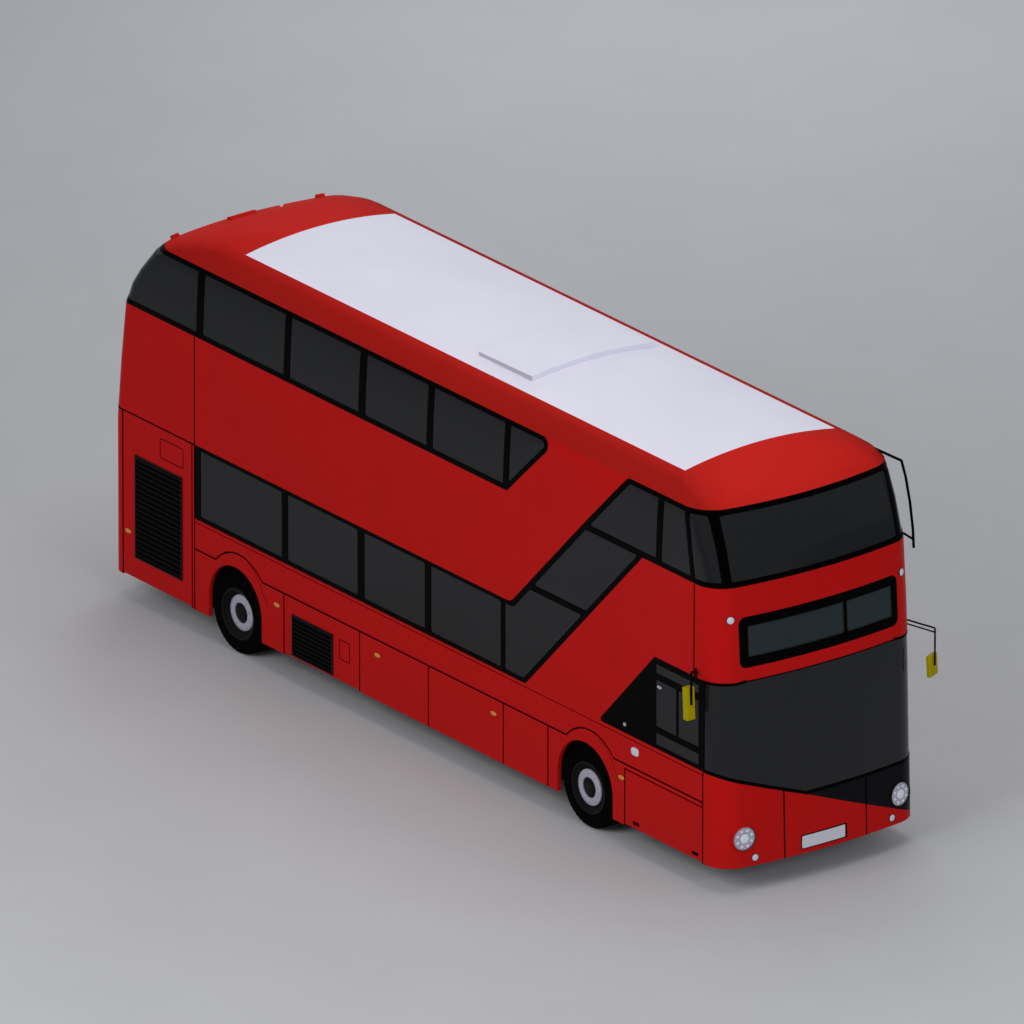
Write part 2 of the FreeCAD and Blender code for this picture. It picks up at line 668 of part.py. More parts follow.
WHEELS_FRONT = [("front_left", 1), ("front_right", -1)]
for name, s in WHEELS_FRONT:
    b = new_body("tyre_" + name)
    sk = sketch(b, "section_tyre_" + name, "XY_Plane")
    polygon(sk, tyre_points(0.0))
    revolve(b, sk, "tyre_ring_" + name)
    place(b, ("front_axle_x", 1, 0), ("wheel_plane_y", s, 0), ("wheel_centre_z", 1, 0))
    node(b, name + "_tyre")
    b = new_body("rim_" + name)
    sk = sketch(b, "section_rim_" + name, "XY_Plane")
    polygon(sk, rim_points_front(s))
    revolve(b, sk, "rim_form_" + name)
    place(b, ("front_axle_x", 1, 0), ("wheel_plane_y", s, 0), ("wheel_centre_z", 1, 0))
    node(b, name + "_rim")

# Rear wheels: two tyres and two rims on one hub each side, the outer tyre
# standing a little further out than the front ones
for name, s in [("rear_left", 1), ("rear_right", -1)]:
    b = new_body("tyre_" + name)
    sk = sketch(b, "section_tyre_outer_" + name, "XY_Plane")
    polygon(sk, tyre_points(0.0))
    revolve(b, sk, "tyre_outer_" + name)
    ring = doc.addObject("Part::Feature", "inner_ring_" + name)
    doc.recompute()
    outer = b.Shape.copy()
    inner = outer.copy()
    inner.translate(Vector(0, -s * P["twin_pitch"], 0))
    ring.Shape = Part.makeCompound([outer, inner])
    place(ring, ("rear_axle_x", 1, 0), ("rear_plane_y", s, 0), ("wheel_centre_z", 1, 0))
    node(ring, name + "_tyres")
    b.Label = "pattern_" + name + "_tyre"
    # dished rear rims joined through the hub
    tp = P["twin_pitch"]
    b = new_body("rim_" + name)
    sk = sketch(b, "section_rim_" + name, "XY_Plane")
    polygon(sk, [(("spindle_radius", 1, 0.06), s * -250.0), (("spindle_radius", 1, 0.06), s * 60.0),
                 (("hub_radius", 1, -34), s * 60.0), (("hub_radius", 1, -26), s * 52.0),
                 (("hub_radius", 1, 22), s * 52.0), (("hub_radius", 1, 24), s * -118.0),
                 (176, s * -124.0), (204, s * -108.0), (224, s * -60.0),
                 (236, s * 92.0), (240, s * 100.0), (258, s * 106.0), (258, s * 101.5),
                 (("bead_radius", 1, -0.5), s * 95.0), (("bead_radius", 1, -0.5), s * -95.0),
                 (258, s * -101.5), (258, s * -106.0), (240, s * -106.0), (240, s * (-tp + 106.0)),
                 (258, s * (-tp + 106.0)), (258, s * (-tp + 101.5)),
                 (("bead_radius", 1, -0.5), s * (-tp + 95.0)), (("bead_radius", 1, -0.5), s * (-tp - 95.0)),
                 (258, s * (-tp - 101.5)), (258, s * (-tp - 106.0)), (240, s * (-tp - 100.0)),
                 (232, s * -190.0), (206, s * -150.0), (176, s * -142.0),
                 (("hub_radius", 1, 10), s * -142.0), (("hub_radius", 1, 10), s * -250.0)])
    revolve(b, sk, "rim_form_" + name)
    place(b, ("rear_axle_x", 1, 0), ("rear_plane_y", s, 0), ("wheel_centre_z", 1, 0))
    node(b, name + "_rims")

# ---------------------------------------------------------------- axles
# Front axle: a drop beam, its ends bored for the kingpins
b = new_body("front_beam")
sk = sketch(b, "beam_outline", "YZ_Plane")
beam = [((("kingpin_y"), 1, 0), 42), (("kingpin_y", 1, -70), 40), (800, -155), (450, -160), (450, -148),
        (350, -148), (350, -160), (-350, -160), (-350, -148), (-450, -148), (-450, -160), (-800, -155),
        (("kingpin_y", -1, 70), 40), (("kingpin_y", -1, 0), 42), (("kingpin_y", -1, 0), -42),
        (("kingpin_y", -1, 60), -46), (-760, -240), (760, -240), (("kingpin_y", 1, -60), -46),
        (("kingpin_y", 1, 0), -42)]
polygon(sk, beam)
pad(b, sk, "beam_pad", ("beam_thick", 1, 0), midplane=True)
doc.recompute()
beam_shape = b.Shape.copy()
beam_shape.translate(Vector(P["front_axle_x"], 0, P["wheel_centre_z"]))
b.Label = "pattern_front_beam"
kx, kz = P["front_axle_x"], P["wheel_centre_z"]
pieces = [beam_shape]
for s in (1, -1):
    pieces.append(cyl(42, (kx, s * P["kingpin_y"], kz - 58), (kx, s * P["kingpin_y"], kz + 58)))
axle = fuse(pieces)
for s in (1, -1):
    axle = axle.cut(cyl(P["kingpin_radius"] + 0.06, (kx, s * P["kingpin_y"], kz - 90),
                        (kx, s * P["kingpin_y"], kz + 90)))
feature("front_axle", axle)

for name, s in (("left_knuckle", 1), ("right_knuckle", -1)):
    ky = s * P["kingpin_y"]
    pin = cyl(P["kingpin_radius"], (kx, ky, kz - 96), (kx, ky, kz + 96))
    parts = [pin]
    for z0, z1 in ((62, 96), (-96, -62)):
        lo_y, hi_y = sorted((ky - s * 34, ky + s * 72))
        parts.append(box(kx - 38, kx + 38, lo_y, hi_y, kz + z0, kz + z1))
    lo_y, hi_y = sorted((ky + s * 50, ky + s * 72))
    parts.append(box(kx - 38, kx + 38, lo_y, hi_y, kz - 96, kz + 96))
    parts.append(cyl(P["spindle_radius"], (kx, ky + s * 60, kz), (kx, s * (P["wheel_plane_y"] + 80), kz)))
    # steering arm, reaching behind the axle
    lo_y, hi_y = sorted((ky - s * 34, ky + s * 10))
    parts.append(box(kx - 190, kx - 20, lo_y, hi_y, kz - 96, kz - 72))
    feature(name, fuse(parts))

# Rear axle: low centre tube, end cases up to the hubs, spindles
rx = P["rear_axle_x"]
rear = [cyl(80, (rx, -640, 235), (rx, 640, 235))]
rear.append(cyl(125, (rx, -250, 285), (rx, -90, 285)))
for s in (1, -1):
    a, c = sorted((s * 545, s * 645))
    rear.append(box(rx - 110, rx + 110, a, c, 160, 520))
    rear.append(cyl(P["spindle_radius"], (rx, s * 600, kz), (rx, s * (P["rear_plane_y"] + 40), kz)))
    a, c = sorted((s * 355, s * 445))
    rear.append(box(rx - 60, rx + 60, a, c, 262, P["rail_low_z"] + 40))
feature("rear_axle", fuse(rear))

# ---------------------------------------------------------------- chassis
# two long rails, raised over the rear axle, with jacking pads under them
# ahead of the rear wheels and behind the front ones
JACK_X = (X(-3450), X(-6650))
rails = []
for s in (1, -1):
    y = s * P["rail_y"]
    bars = [box(X(-9600), rx - 160, y - 40, y + 40, P["rail_low_z"], 340),
            box(rx + 160, X(-60), y - 40, y + 40, P["rail_low_z"], 340),
            box(rx - 200, rx + 200, y - 40, y + 40, 325, 340)]
    for xj in JACK_X:
        bars.append(box(xj - 60, xj + 60, y - 60, y + 60, P["rail_low_z"] - 12, 340))
    rails.append(fuse(bars))
feature("chassis_rails", compound(rails))
# cross members between the rails and outriggers beyond them
CROSS_MEMBERS = [-9560, -8700, -7200, -6300, -5200, -4100, -3000, -1200]
members = []
for xr in CROSS_MEMBERS:
    for y0, y1 in ((-1150, -441), (-359, 359), (441, 1150)):
        members.append(box(X(xr), X(xr) + 70, y0, y1, 290, 340))
for y0, y1 in ((-1150, -441), (441, 1150)):
    members.append(box(X(-160), X(-160) + 70, y0, y1, 290, 340))
feature("cross_members", compound(members))
# front cross member with the vertical bore for the recovery drawbar's pin
TOW = (X(-125), 0.0, 20.0)
front_member = box(X(-160), X(-160) + 70, -359, 359, 290, 340)
feature("drawbar_member", front_member.cut(cyl(TOW[2], (TOW[0], TOW[1], 250), (TOW[0], TOW[1], 400))))

# ---------------------------------------------------------------- lower deck floor with wheel boxes
FZ = P["floor_z"]
floor = form(WALL + 2).common(box(X(-9900), X(200), -BIG, BIG, FZ - P["floor_plate"], FZ))
BOXES = [  # axle, half length, inner face, top
    (P["front_axle_x"], 505, 640, 985),
    (rx, 475, 520, 960),
]
wheel_boxes = []
for ax, half, inner, top in BOXES:
    for s in (1, -1):
        a, c = sorted((s * inner, s * (P["half_width"] - WALL - 2)))
        outer = box(ax - half - 12, ax + half + 12, a, c, FZ - P["floor_plate"], top + 12)
        a, c = sorted((s * (inner + 12), s * (P["half_width"] + 50)))
        inside = box(ax - half, ax + half, a, c, -10, top)
        wheel_boxes.append(outer.cut(inside))
        a, c = sorted((s * (inner - 2), s * (P["half_width"] + 50)))
        floor = floor.cut(box(ax - half - 14, ax + half + 14, a, c, -10, top + 20))
# well over the rear axle's tube
floor = floor.fuse(box(rx - 190, rx + 190, -518, 518, FZ - 40, FZ + 80))
floor = floor.cut(box(rx - 178, rx + 178, -720, 720, -10, FZ + 68))
tube_slot = box(rx - 178, rx + 178, -720, 720, -10, FZ + 68)
feature("lower_floor", compound([floor.removeSplitter()]))
feature("wheel_boxes", compound([w.cut(tube_slot) for w in wheel_boxes]))

# ---------------------------------------------------------------- engine
eng = doc.addObject("Part::Box", "engine_block")
eng.Length, eng.Width, eng.Height = P["engine_length"], P["engine_width"], P["engine_height"]
eng.setExpression("Length", "Sizes.engine_length")
eng.setExpression("Width", "Sizes.engine_width")
eng.setExpression("Height", "Sizes.engine_height")
place(eng, X(-9660), -1130, ("floor_z", 1, 0))
node(eng, "engine_block")

# ---------------------------------------------------------------- upper deck floor
DZ = P["deck_z"]
deck = form(WALL + 2).common(box(X(-9800), X(220), -BIG, BIG, DZ - P["deck_plate"], DZ))
STAIR_WELL = (X(-3200), X(-1517), -1240, -560)     # x0, x1, y0, y1
deck = deck.cut(box(STAIR_WELL[0], STAIR_WELL[1], STAIR_WELL[2], STAIR_WELL[3], DZ - 200, DZ + 100))
feature("upper_floor", compound([deck]))

# ---------------------------------------------------------------- staircase
# foot at the rear, climbing forward along the offside above the front wheel
steps = []
n_steps = 9
rise = (DZ - FZ) / (n_steps + 0.0)
going = 205.0
foot = X(-3190)
for i in range(n_steps - 1):
    x0 = foot + i * going
    steps.append(box(x0, x0 + going + 24, -1215, -600, FZ + (i + 1) * rise - 34, FZ + (i + 1) * rise))
    steps.append(box(x0, x0 + 22, -1215, -600, FZ + i * rise - (0 if i == 0 else 34), FZ + (i + 1) * rise))
# strings each side, under the treads
string_pts = [Vector(foot, -600, FZ), Vector(foot + 240, -600, FZ),
              Vector(foot + 8 * going + 24, -600, FZ + 8 * rise - 250),
              Vector(foot + 8 * going + 24, -600, FZ + 8 * rise),
              Vector(foot + 7 * going, -600, FZ + 8 * rise)]
string = Part.Face(Part.makePolygon(string_pts + [string_pts[0]])).extrude(Vector(0, 24, 0))
steps.append(string)
feature("staircase", fuse(steps).cut(box(P["front_axle_x"] - 520, P["front_axle_x"] + 520, -1300, -622, 0, 999)))

# ---------------------------------------------------------------- cab
# partition behind the driver, dash and steering wheel
cab = [box(X(-1205), X(-1180), -1222, -330, FZ, DZ - P["deck_plate"] - 4)]
feature("cab_partition", compound(cab))
dash = box(X(-150), X(90), -1180, -330, FZ + 420, FZ + 800)
dash = dash.fuse(box(X(-60), X(60), -1100, -420, FZ, FZ + 430))
column = cyl(28, (X(-80), -760, FZ + 700), (X(-330), -760, FZ + 860))
rim_w = Part.makeTorus(215, 15, Vector(X(-330), -760, FZ + 860), Vector(-250, 0, 160))
spoke = []
d = Vector(-250, 0, 160)
d.normalize()
u = d.cross(Vector(0, 1, 0))
for ang in (90, 210, 330):
    a = math.radians(ang)
    e = Vector(0, 1, 0) * math.cos(a) + u * math.sin(a)
    c = Vector(X(-330), -760, FZ + 860)
    spoke.append(Part.makeCylinder(10, 212, c, e))
feature("dashboard", fuse([dash, column, rim_w] + spoke))

# ---------------------------------------------------------------- seats
def seat(x, y, z, width, face=1):
    # x is the front edge of the cushion; cushion, back and pedestal
    c = box(x - face * 460 if face > 0 else x, x if face > 0 else x + 460, y - width / 2, y + width / 2, z + 380, z + 460)
    bx = x - 520 if face > 0 else x + 440
    bk = box(bx, bx + 80, y - width / 2, y + width / 2, z + 380, z + 1000)
    leg = box(x - 330 if face > 0 else x + 130, x - 130 if face > 0 else x + 330, y - width / 4, y + width / 4, z, z + 400)
    return fuse([c, bk, leg])


# rows: front edge of the cushion, side (+1 nearside, -1 offside)
LOWER_ROWS = [(-4900, -1), (-5650, -1), (-6400, -1), (-5000, 1), (-5700, 1), (-6400, 1), (-2100 - 1300, -1)]
lower = [seat(X(x), s * 770, FZ + 0.0, 860) for x, s in LOWER_ROWS]
lower.append(seat(X(-520), -760, FZ, 480))
feature("lower_deck_seats", compound(lower))
UPPER_ROWS = []
for i in range(10):
    xr = -1000 - 760 * i
    UPPER_ROWS.append((xr, 1))
    if xr < -3700:
        UPPER_ROWS.append((xr, -1))
upper = [seat(X(x), s * 750, DZ, 860) for x, s in UPPER_ROWS]
upper.append(seat(X(-520), -720, DZ, 860))
feature("upper_deck_seats", compound(upper))

# ---------------------------------------------------------------- door leaves
# Each leaf: a frame with a thin glazed field, hinged at its jamb
def leaf(name, x0, x1):
    b = new_body("leaf_" + name)
    sk = sketch(b, "leaf_outline_" + name, "XZ_Plane")
    polygon(sk, [(x0, ("door_low_z", 1, 0)), (x1, ("door_low_z", 1, 0)),
                 (x1, ("door_top_z", 1, 0)), (x0, ("door_top_z", 1, 0))])
    pad(b, sk, "leaf_pad_" + name, ("door_thick", 1, 0), reverse=True)
    for tag, off, depth, rev in (("out", 0.0, 10.0, True), ("in", None, 14.0, False)):
        sk2 = b.newObject("Sketcher::SketchObject", "field_%s_%s" % (tag, name))
        plane = [o for o in b.Origin.OriginFeatures if o.Role == "XZ_Plane"][0]
        sk2.AttachmentSupport = (plane, [""])
        sk2.MapMode = "FlatFace"
        lift = 0.0 if tag == "in" else -P["door_thick"]
        sk2.AttachmentOffset = Placement(Vector(0, 0, lift), Rotation())
        polygon(sk2, [(x0 + 55, ("door_low_z", 1, 180)), (x1 - 55, ("door_low_z", 1, 180)),
                      (x1 - 55, ("door_top_z", 1, -70)), (x0 + 55, ("door_top_z", 1, -70))])
        pk = b.newObject("PartDesign::Pocket", "pocket_%s_%s" % (tag, name))
        pk.Profile = sk2
        pk.Length = depth
        pk.Reversed = (tag == "in")
    place(b, 0, ("half_width", 1, -42), 0)
    return node(b, name)


GAP = 12.0
DOOR_HINGES = []
for name, a, b_, leaves in DOORWAYS:
    x0, x1 = X(a) + GAP, X(b_) - GAP
    if leaves == 2:
        mid = (x0 + x1) / 2
        leaf(name + "_rear_leaf", x0, mid - 4)
        leaf(name + "_front_leaf", mid + 4, x1)
    else:
        leaf(name, x0, x1)

# ---------------------------------------------------------------- mirrors, tree guard
def rod(points, r):
    out = []
    for p, q in zip(points, points[1:]):
        out.append(cyl(r, p, q))
        out.append(Part.makeSphere(r, Vector(*q)))
    return out


REACH = 1490.0      # how far each mirror stands out from the centre line


def soften(s, r):
    return s.makeFillet(r, s.Edges)


def turned(s, angle, x, y):
    s.rotate(Vector(x, y, 0), Vector(0, 0, 1), angle)
    return s


# offside: bracket on the corner post, a bent arm, a tall narrow housing
off_arm = [(X(-112), -1262, Z(2045)), (X(-60), -1330, Z(2090)), (X(18), -1437, Z(2132)), (X(18), -1437, Z(1800))]
housing_off = box(X(-60), X(14), -REACH, -REACH + 105, Z(1611), Z(1964))
bracket_off = box(X(-130), X(-96), -1290, -1250, Z(1995), Z(2095))
# nearside: two thin arms reaching forward, the housing turned towards the driver
near_arm = [(X(20), 1235, Z(2071)), (X(329), 1420, Z(2017)), (X(329), 1420, Z(1640))]
near_arm2 = [(X(20), 1235, Z(2027)), (X(329), 1420, Z(1973))]
HOUSING_NEAR = (165.0, 48.0, 232.0, 24.3)      # width, depth, height, turn
hw, hd, hh, turn = HOUSING_NEAR
turn_r = math.radians(turn)
near_y = REACH + 5.2 - 0.5 * hw * math.cos(turn_r) - 0.5 * hd * math.sin(turn_r)
near_x = X(299)
housing_near = turned(box(near_x - hd / 2, near_x + hd / 2, near_y - hw / 2, near_y + hw / 2, Z(1496), Z(1496) + hh),
                      turn, near_x, near_y)
skin = form(0)
off_mirror = fuse(rod(off_arm, 13) + [soften(housing_off, 11), bracket_off]).cut(skin)
near_mirror = fuse(rod(near_arm, 10) + rod(near_arm2, 8) + [soften(housing_near, 16)]).cut(skin)
feature("mirrors", compound([off_mirror, near_mirror]))
# a hoop standing off the nearside front corner, rooted in the roof edge and the belt
guard = [(X(-395), 1150, Z(3826)), (X(20), 1222, Z(3790)), (X(88), 1224, Z(3636)), (X(159), 1225, Z(3384)),
         (X(208), 1226, Z(3107)), (X(222), 1226, Z(2915))]
guard_low = [(X(20), 1190, Z(3042)), (X(211), 1225, Z(2996))]
feature("tree_guard", compound([fuse(rod(guard, 14) + rod(guard_low, 12)).cut(skin)]))

# ---------------------------------------------------------------- checks and export
doc.recompute()
bad = []
for o in doc.Objects:
    if "Invalid" in o.State or "Error" in o.State:
        bad.append("%s: %s" % (o.Name, o.State))
for o in NODES:
    if o.Shape.isNull() or not o.Shape.isValid() or not o.Shape.Solids:
        bad.append("%s: shape not valid or empty" % o.Label)
if bad:
    raise RuntimeError("\n".join(bad))
os.makedirs("parts", exist_ok=True)
for f in os.listdir("parts"):
    if f.endswith(".step"):
        os.remove(os.path.join("parts", f))
for o in NODES:
    o.Shape.exportStep("parts/%s.step" % o.Label)
total = Part.makeCompound([o.Shape for o in NODES])
bb = total.optimalBoundingBox(False)
print("nodes", len(NODES), "box", [round(v, 1) for v in (bb.XMin, bb.XMax, bb.YMin, bb.YMax, bb.ZMin, bb.ZMax)],
      "volume m3", round(sum(o.Shape.Volume for o in NODES) / 1e9, 3))
for o in NODES:
    b_ = o.Shape.optimalBoundingBox(False)
    print("%-26s solids %2d  vol %.4f  x %.0f..%.0f y %.0f..%.0f z %.0f..%.0f" % (
        o.Label, len(o.Shape.Solids), o.Shape.Volume / 1e9, b_.XMin, b_.XMax, b_.YMin, b_.YMax, b_.ZMin, b_.ZMax))
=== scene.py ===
import math
import random

import bmesh
import bpy
from mathutils import Matrix, Vector


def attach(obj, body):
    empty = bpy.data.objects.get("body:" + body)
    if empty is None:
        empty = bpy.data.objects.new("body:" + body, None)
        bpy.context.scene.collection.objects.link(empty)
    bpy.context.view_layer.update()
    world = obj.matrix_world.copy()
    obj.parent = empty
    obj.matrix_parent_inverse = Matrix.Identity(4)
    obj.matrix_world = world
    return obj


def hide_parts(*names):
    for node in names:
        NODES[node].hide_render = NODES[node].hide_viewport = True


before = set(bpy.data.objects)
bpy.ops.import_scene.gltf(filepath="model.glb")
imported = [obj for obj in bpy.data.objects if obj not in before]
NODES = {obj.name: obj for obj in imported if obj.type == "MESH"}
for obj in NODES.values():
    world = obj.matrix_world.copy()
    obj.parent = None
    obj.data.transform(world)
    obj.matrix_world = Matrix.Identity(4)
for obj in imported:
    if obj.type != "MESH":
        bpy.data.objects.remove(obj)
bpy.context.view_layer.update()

random.seed(7)
scene = bpy.context.scene

# ------------------------------------------------------------------ the body's form, in metres
XS, ZS = 4.817, 0.270
# height above skirt, half width, front, rear, front corner, front crown, rear corner, rear crown
LEVELS = [
    (0.000, 1.275, 0.396, -10.030, .320, 7.2, .150, 21.0),
    (1.700, 1.275, 0.350, -10.030, .320, 7.2, .150, 21.0),
    (2.350, 1.275, 0.322, -9.985, .320, 6.8, .160, 15.0),
    (3.010, 1.272, 0.285, -9.925, .320, 6.0, .150, 9.0),
    (3.220, 1.266, 0.237, -9.872, .325, 5.6, .188, 7.6),
    (3.400, 1.258, 0.196, -9.775, .330, 5.2, .226, 6.5),
    (3.660, 1.243, 0.110, -9.592, .340, 4.8, .284, 5.2),
    (3.770, 1.226, 0.060, -9.460, .350, 4.6, .320, 4.6),
    (3.850, 1.168, -0.028, -9.232, .370, 4.4, .388, 4.2),
    (3.920, 1.070, -0.170, -9.025, .400, 4.2, .430, 4.0),
    (3.970, 0.945, -0.345, -8.820, .420, 4.0, .464, 3.9),
    (4.075, 0.600, -0.740, -8.176, .300, 3.9, .290, 3.8),
]


def level(zr):
    for a, b in zip(LEVELS, LEVELS[1:]):
        if zr <= b[0]:
            t = (zr - a[0]) / (b[0] - a[0])
            return [p + (q - p) * t for p, q in zip(a, b)]
    return list(LEVELS[-1])


def half(zr):
    return level(max(0.0, zr))[1]


def front_x(y, zr):
    _h, b, f, _r, rc, rf, _a, _c = level(max(0.0, zr))
    y = min(abs(y), b - 1e-4)
    cx = f - rf
    yc = b - rc
    xc = cx + math.sqrt((rf - rc) ** 2 - yc ** 2)
    ang = math.atan2(yc, xc - cx)
    if y <= rf * math.sin(ang):
        return XS + cx + math.sqrt(rf ** 2 - y ** 2)
    return XS + xc + math.sqrt(max(0.0, rc ** 2 - (y - yc) ** 2))


def rear_x(y, zr):
    _h, b, _f, r, _a, _c, rc, rr = level(max(0.0, zr))
    y = min(abs(y), b - 1e-4)
    cx = r + rr
    yc = b - rc
    xc = cx - math.sqrt((rr - rc) ** 2 - yc ** 2)
    ang = math.atan2(yc, cx - xc)
    if y <= rr * math.sin(ang):
        return XS + cx - math.sqrt(rr ** 2 - y ** 2)
    return XS + xc - math.sqrt(max(0.0, rc ** 2 - (y - yc) ** 2))


def on_side(xr, zr, side=-1):
    # point on the side wall and its outward normal; xr, zr from the seam and skirt
    e = 0.01
    slope = (half(zr + e) - half(zr - e)) / (2 * e) if zr > 0.02 else 0.0
    n = Vector((0, side, -slope * side * side)).normalized()
    return Vector((XS + xr, side * half(zr), ZS + zr)), n


def on_front(y, zr):
    e = 0.004
    p = Vector((front_x(y, zr), y, ZS + zr))
    dy = Vector((front_x(y + e, zr) - front_x(y - e, zr), 2 * e, 0))
    dz = Vector((front_x(y, zr + e) - front_x(y, zr - e), 0, 2 * e))
    n = dy.cross(dz).normalized()
    return p, n if n.x > 0 else -n


def on_rear(y, zr):
    e = 0.004
    p = Vector((rear_x(y, zr), y, ZS + zr))
    dy = Vector((rear_x(y + e, zr) - rear_x(y - e, zr), 2 * e, 0))
    dz = Vector((rear_x(y, zr + e) - rear_x(y, zr - e), 0, 2 * e))
    n = dy.cross(dz).normalized()
    return p, n if n.x < 0 else -n


# ------------------------------------------------------------------ materials
def srgb(r, g, b):
    out = []
    for c in (r, g, b):
        c = c / 255.0
        out.append(c / 12.92 if c <= 0.04045 else ((c + 0.055) / 1.055) ** 2.4)
    return out


def material(name, colour, rough=0.4, metal=0.0, coat=0.0, vary=0.08, vary_scale=3.0, bump=0.0,
             bump_scale=200.0, rough_vary=0.05, alpha=1.0, emission=None, sheen=0.0, stretch=None, ior=1.5,
             grime=0.0):
    m = bpy.data.materials.new(name)
    m.use_nodes = True
    nt = m.node_tree
    N, L = nt.nodes, nt.links
    bsdf = N["Principled BSDF"]
    bsdf.inputs["Metallic"].default_value = metal
    bsdf.inputs["IOR"].default_value = ior
    bsdf.inputs["Coat Weight"].default_value = coat
    bsdf.inputs["Coat Roughness"].default_value = 0.06
    bsdf.inputs["Sheen Weight"].default_value = sheen
    bsdf.inputs["Alpha"].default_value = alpha
    co = N.new("ShaderNodeTexCoord")
    src = co.outputs["Object"]
    if stretch:
        mp = N.new("ShaderNodeMapping")
        mp.inputs["Scale"].default_value = stretch
        L.new(src, mp.inputs["Vector"])
        src = mp.outputs["Vector"]
    noise = N.new("ShaderNodeTexNoise")
    noise.inputs["Scale"].default_value = vary_scale
    noise.inputs["Detail"].default_value = 6.0
    noise.inputs["Roughness"].default_value = 0.6
    L.new(src, noise.inputs["Vector"])
    ramp = N.new("ShaderNodeValToRGB")
    c = Vector(colour)
    ramp.color_ramp.elements[0].position = 0.3
    ramp.color_ramp.elements[1].position = 0.7
    ramp.color_ramp.elements[0].color = (*(c * (1 - vary)), 1)
    ramp.color_ramp.elements[1].color = (*(c * (1 + vary)), 1)
    L.new(noise.outputs["Fac"], ramp.inputs["Fac"])
    colour_out = ramp.outputs["Color"]
    if grime > 0:
        # road dirt that thins out with height above the ground
        sep = N.new("ShaderNodeSeparateXYZ")
        L.new(co.outputs["Object"], sep.inputs[0])
        mr = N.new("ShaderNodeMapRange")
        mr.inputs["From Min"].default_value = 0.1
        mr.inputs["From Max"].default_value = 0.9
        mr.inputs["To Min"].default_value = grime
        mr.inputs["To Max"].default_value = 0.0
        L.new(sep.outputs["Z"], mr.inputs["Value"])
        n2 = N.new("ShaderNodeTexNoise")
        n2.inputs["Scale"].default_value = 9.0
        n2.inputs["Detail"].default_value = 8.0
        L.new(co.outputs["Object"], n2.inputs["Vector"])
        mul = N.new("ShaderNodeMath")
        mul.operation = "MULTIPLY"
        L.new(mr.outputs[0], mul.inputs[0])
        L.new(n2.outputs["Fac"], mul.inputs[1])
        mix = N.new("ShaderNodeMix")
        mix.data_type = "RGBA"
        L.new(mul.outputs[0], mix.inputs["Factor"])
        L.new(colour_out, mix.inputs[6])
        mix.inputs[7].default_value = (0.09, 0.075, 0.06, 1)
        colour_out = mix.outputs[2]
    L.new(colour_out, bsdf.inputs["Base Color"])
    rr = N.new("ShaderNodeMapRange")
    rr.inputs["To Min"].default_value = max(0.02, rough - rough_vary)
    rr.inputs["To Max"].default_value = min(1.0, rough + rough_vary)
    L.new(noise.outputs["Fac"], rr.inputs["Value"])
    L.new(rr.outputs[0], bsdf.inputs["Roughness"])
    if bump > 0:
        bn = N.new("ShaderNodeTexNoise")
        bn.inputs["Scale"].default_value = bump_scale
        bn.inputs["Detail"].default_value = 3.0
        L.new(src, bn.inputs["Vector"])
        bp = N.new("ShaderNodeBump")
        bp.inputs["Strength"].default_value = bump
        bp.inputs["Distance"].default_value = 0.002
        L.new(bn.outputs["Fac"], bp.inputs["Height"])
        L.new(bp.outputs["Normal"], bsdf.inputs["Normal"])
    if emission:
        bsdf.inputs["Emission Color"].default_value = (*emission[:3], 1)
        bsdf.inputs["Emission Strength"].default_value = emission[3]
    if alpha < 1.0:
        m.use_backface_culling = False
    return m


M = {}
M["red"] = material("red_enamel", srgb(183, 20, 19), rough=0.30, coat=0.0, ior=1.10, vary=0.03, vary_scale=1.3, bump=0.012,
                    bump_scale=60, rough_vary=0.05, grime=0.05)
# roof copy of the red enamel: its lighter, more orange base colour is painted light on the upward roof
M["red_roof"] = material("red_enamel_roof", srgb(188, 34, 29), rough=0.42, coat=0.0, ior=1.045, vary=0.03,
                         vary_scale=1.3, bump=0.012, bump_scale=60, rough_vary=0.05, grime=0.04)
M["white"] = material("white_roof_paint", srgb(228, 226, 241), rough=0.45, coat=0.0, ior=1.25, vary=0.025, vary_scale=1.1,
                      bump=0.03, bump_scale=60, rough_vary=0.07)
M["black"] = material("gloss_black_frame", [0.0005, 0.0006, 0.0006], rough=0.28, ior=1.085, vary=0.2, vary_scale=4,
                      bump=0.015, bump_scale=80, rough_vary=0.05)
M["seal"] = material("black_rubber_seal", [0.006, 0.006, 0.0065], rough=0.7, vary=0.2, vary_scale=20, bump=0.15,
                     bump_scale=300)
M["black_panel"] = material("satin_black_panel", [0.0052, 0.0052, 0.0062], rough=0.34, ior=1.12, vary=0.1,
                            vary_scale=4, bump=0.015, bump_scale=80, rough_vary=0.05)
M["seam"] = material("panel_gap", [0.0010, 0.0007, 0.0007], rough=0.9, ior=1.05, vary=0.3, vary_scale=12, bump=0.1,
                     bump_scale=200)
M["glass"] = material("dark_tinted_glass", [0.0072, 0.0077, 0.0090], rough=0.07, coat=0.0, vary=0.05,
                      vary_scale=0.7, rough_vary=0.02, alpha=0.93, ior=1.34)
M["screen"] = material("dark_windscreen", [0.0104, 0.0109, 0.0124], rough=0.09, coat=0.0, vary=0.05,
                       vary_scale=0.6, rough_vary=0.02, alpha=0.95, ior=1.34)
M["display"] = material("display_pane", srgb(30, 42, 47), rough=0.12, ior=1.32, vary=0.06, vary_scale=3,
                        rough_vary=0.03)
M["chassis"] = material("chassis_black", [0.014, 0.014, 0.015], rough=0.55, vary=0.25, vary_scale=6, bump=0.2,
                        bump_scale=120, grime=0.5)
M["cast"] = material("cast_iron", [0.05, 0.05, 0.052], rough=0.62, metal=0.7, vary=0.2, vary_scale=10, bump=0.35,
                     bump_scale=160, grime=0.3)
M["steel"] = material("brushed_steel", [0.42, 0.42, 0.43], rough=0.3, metal=1.0, vary=0.06, vary_scale=30,
                      bump=0.05, bump_scale=300)
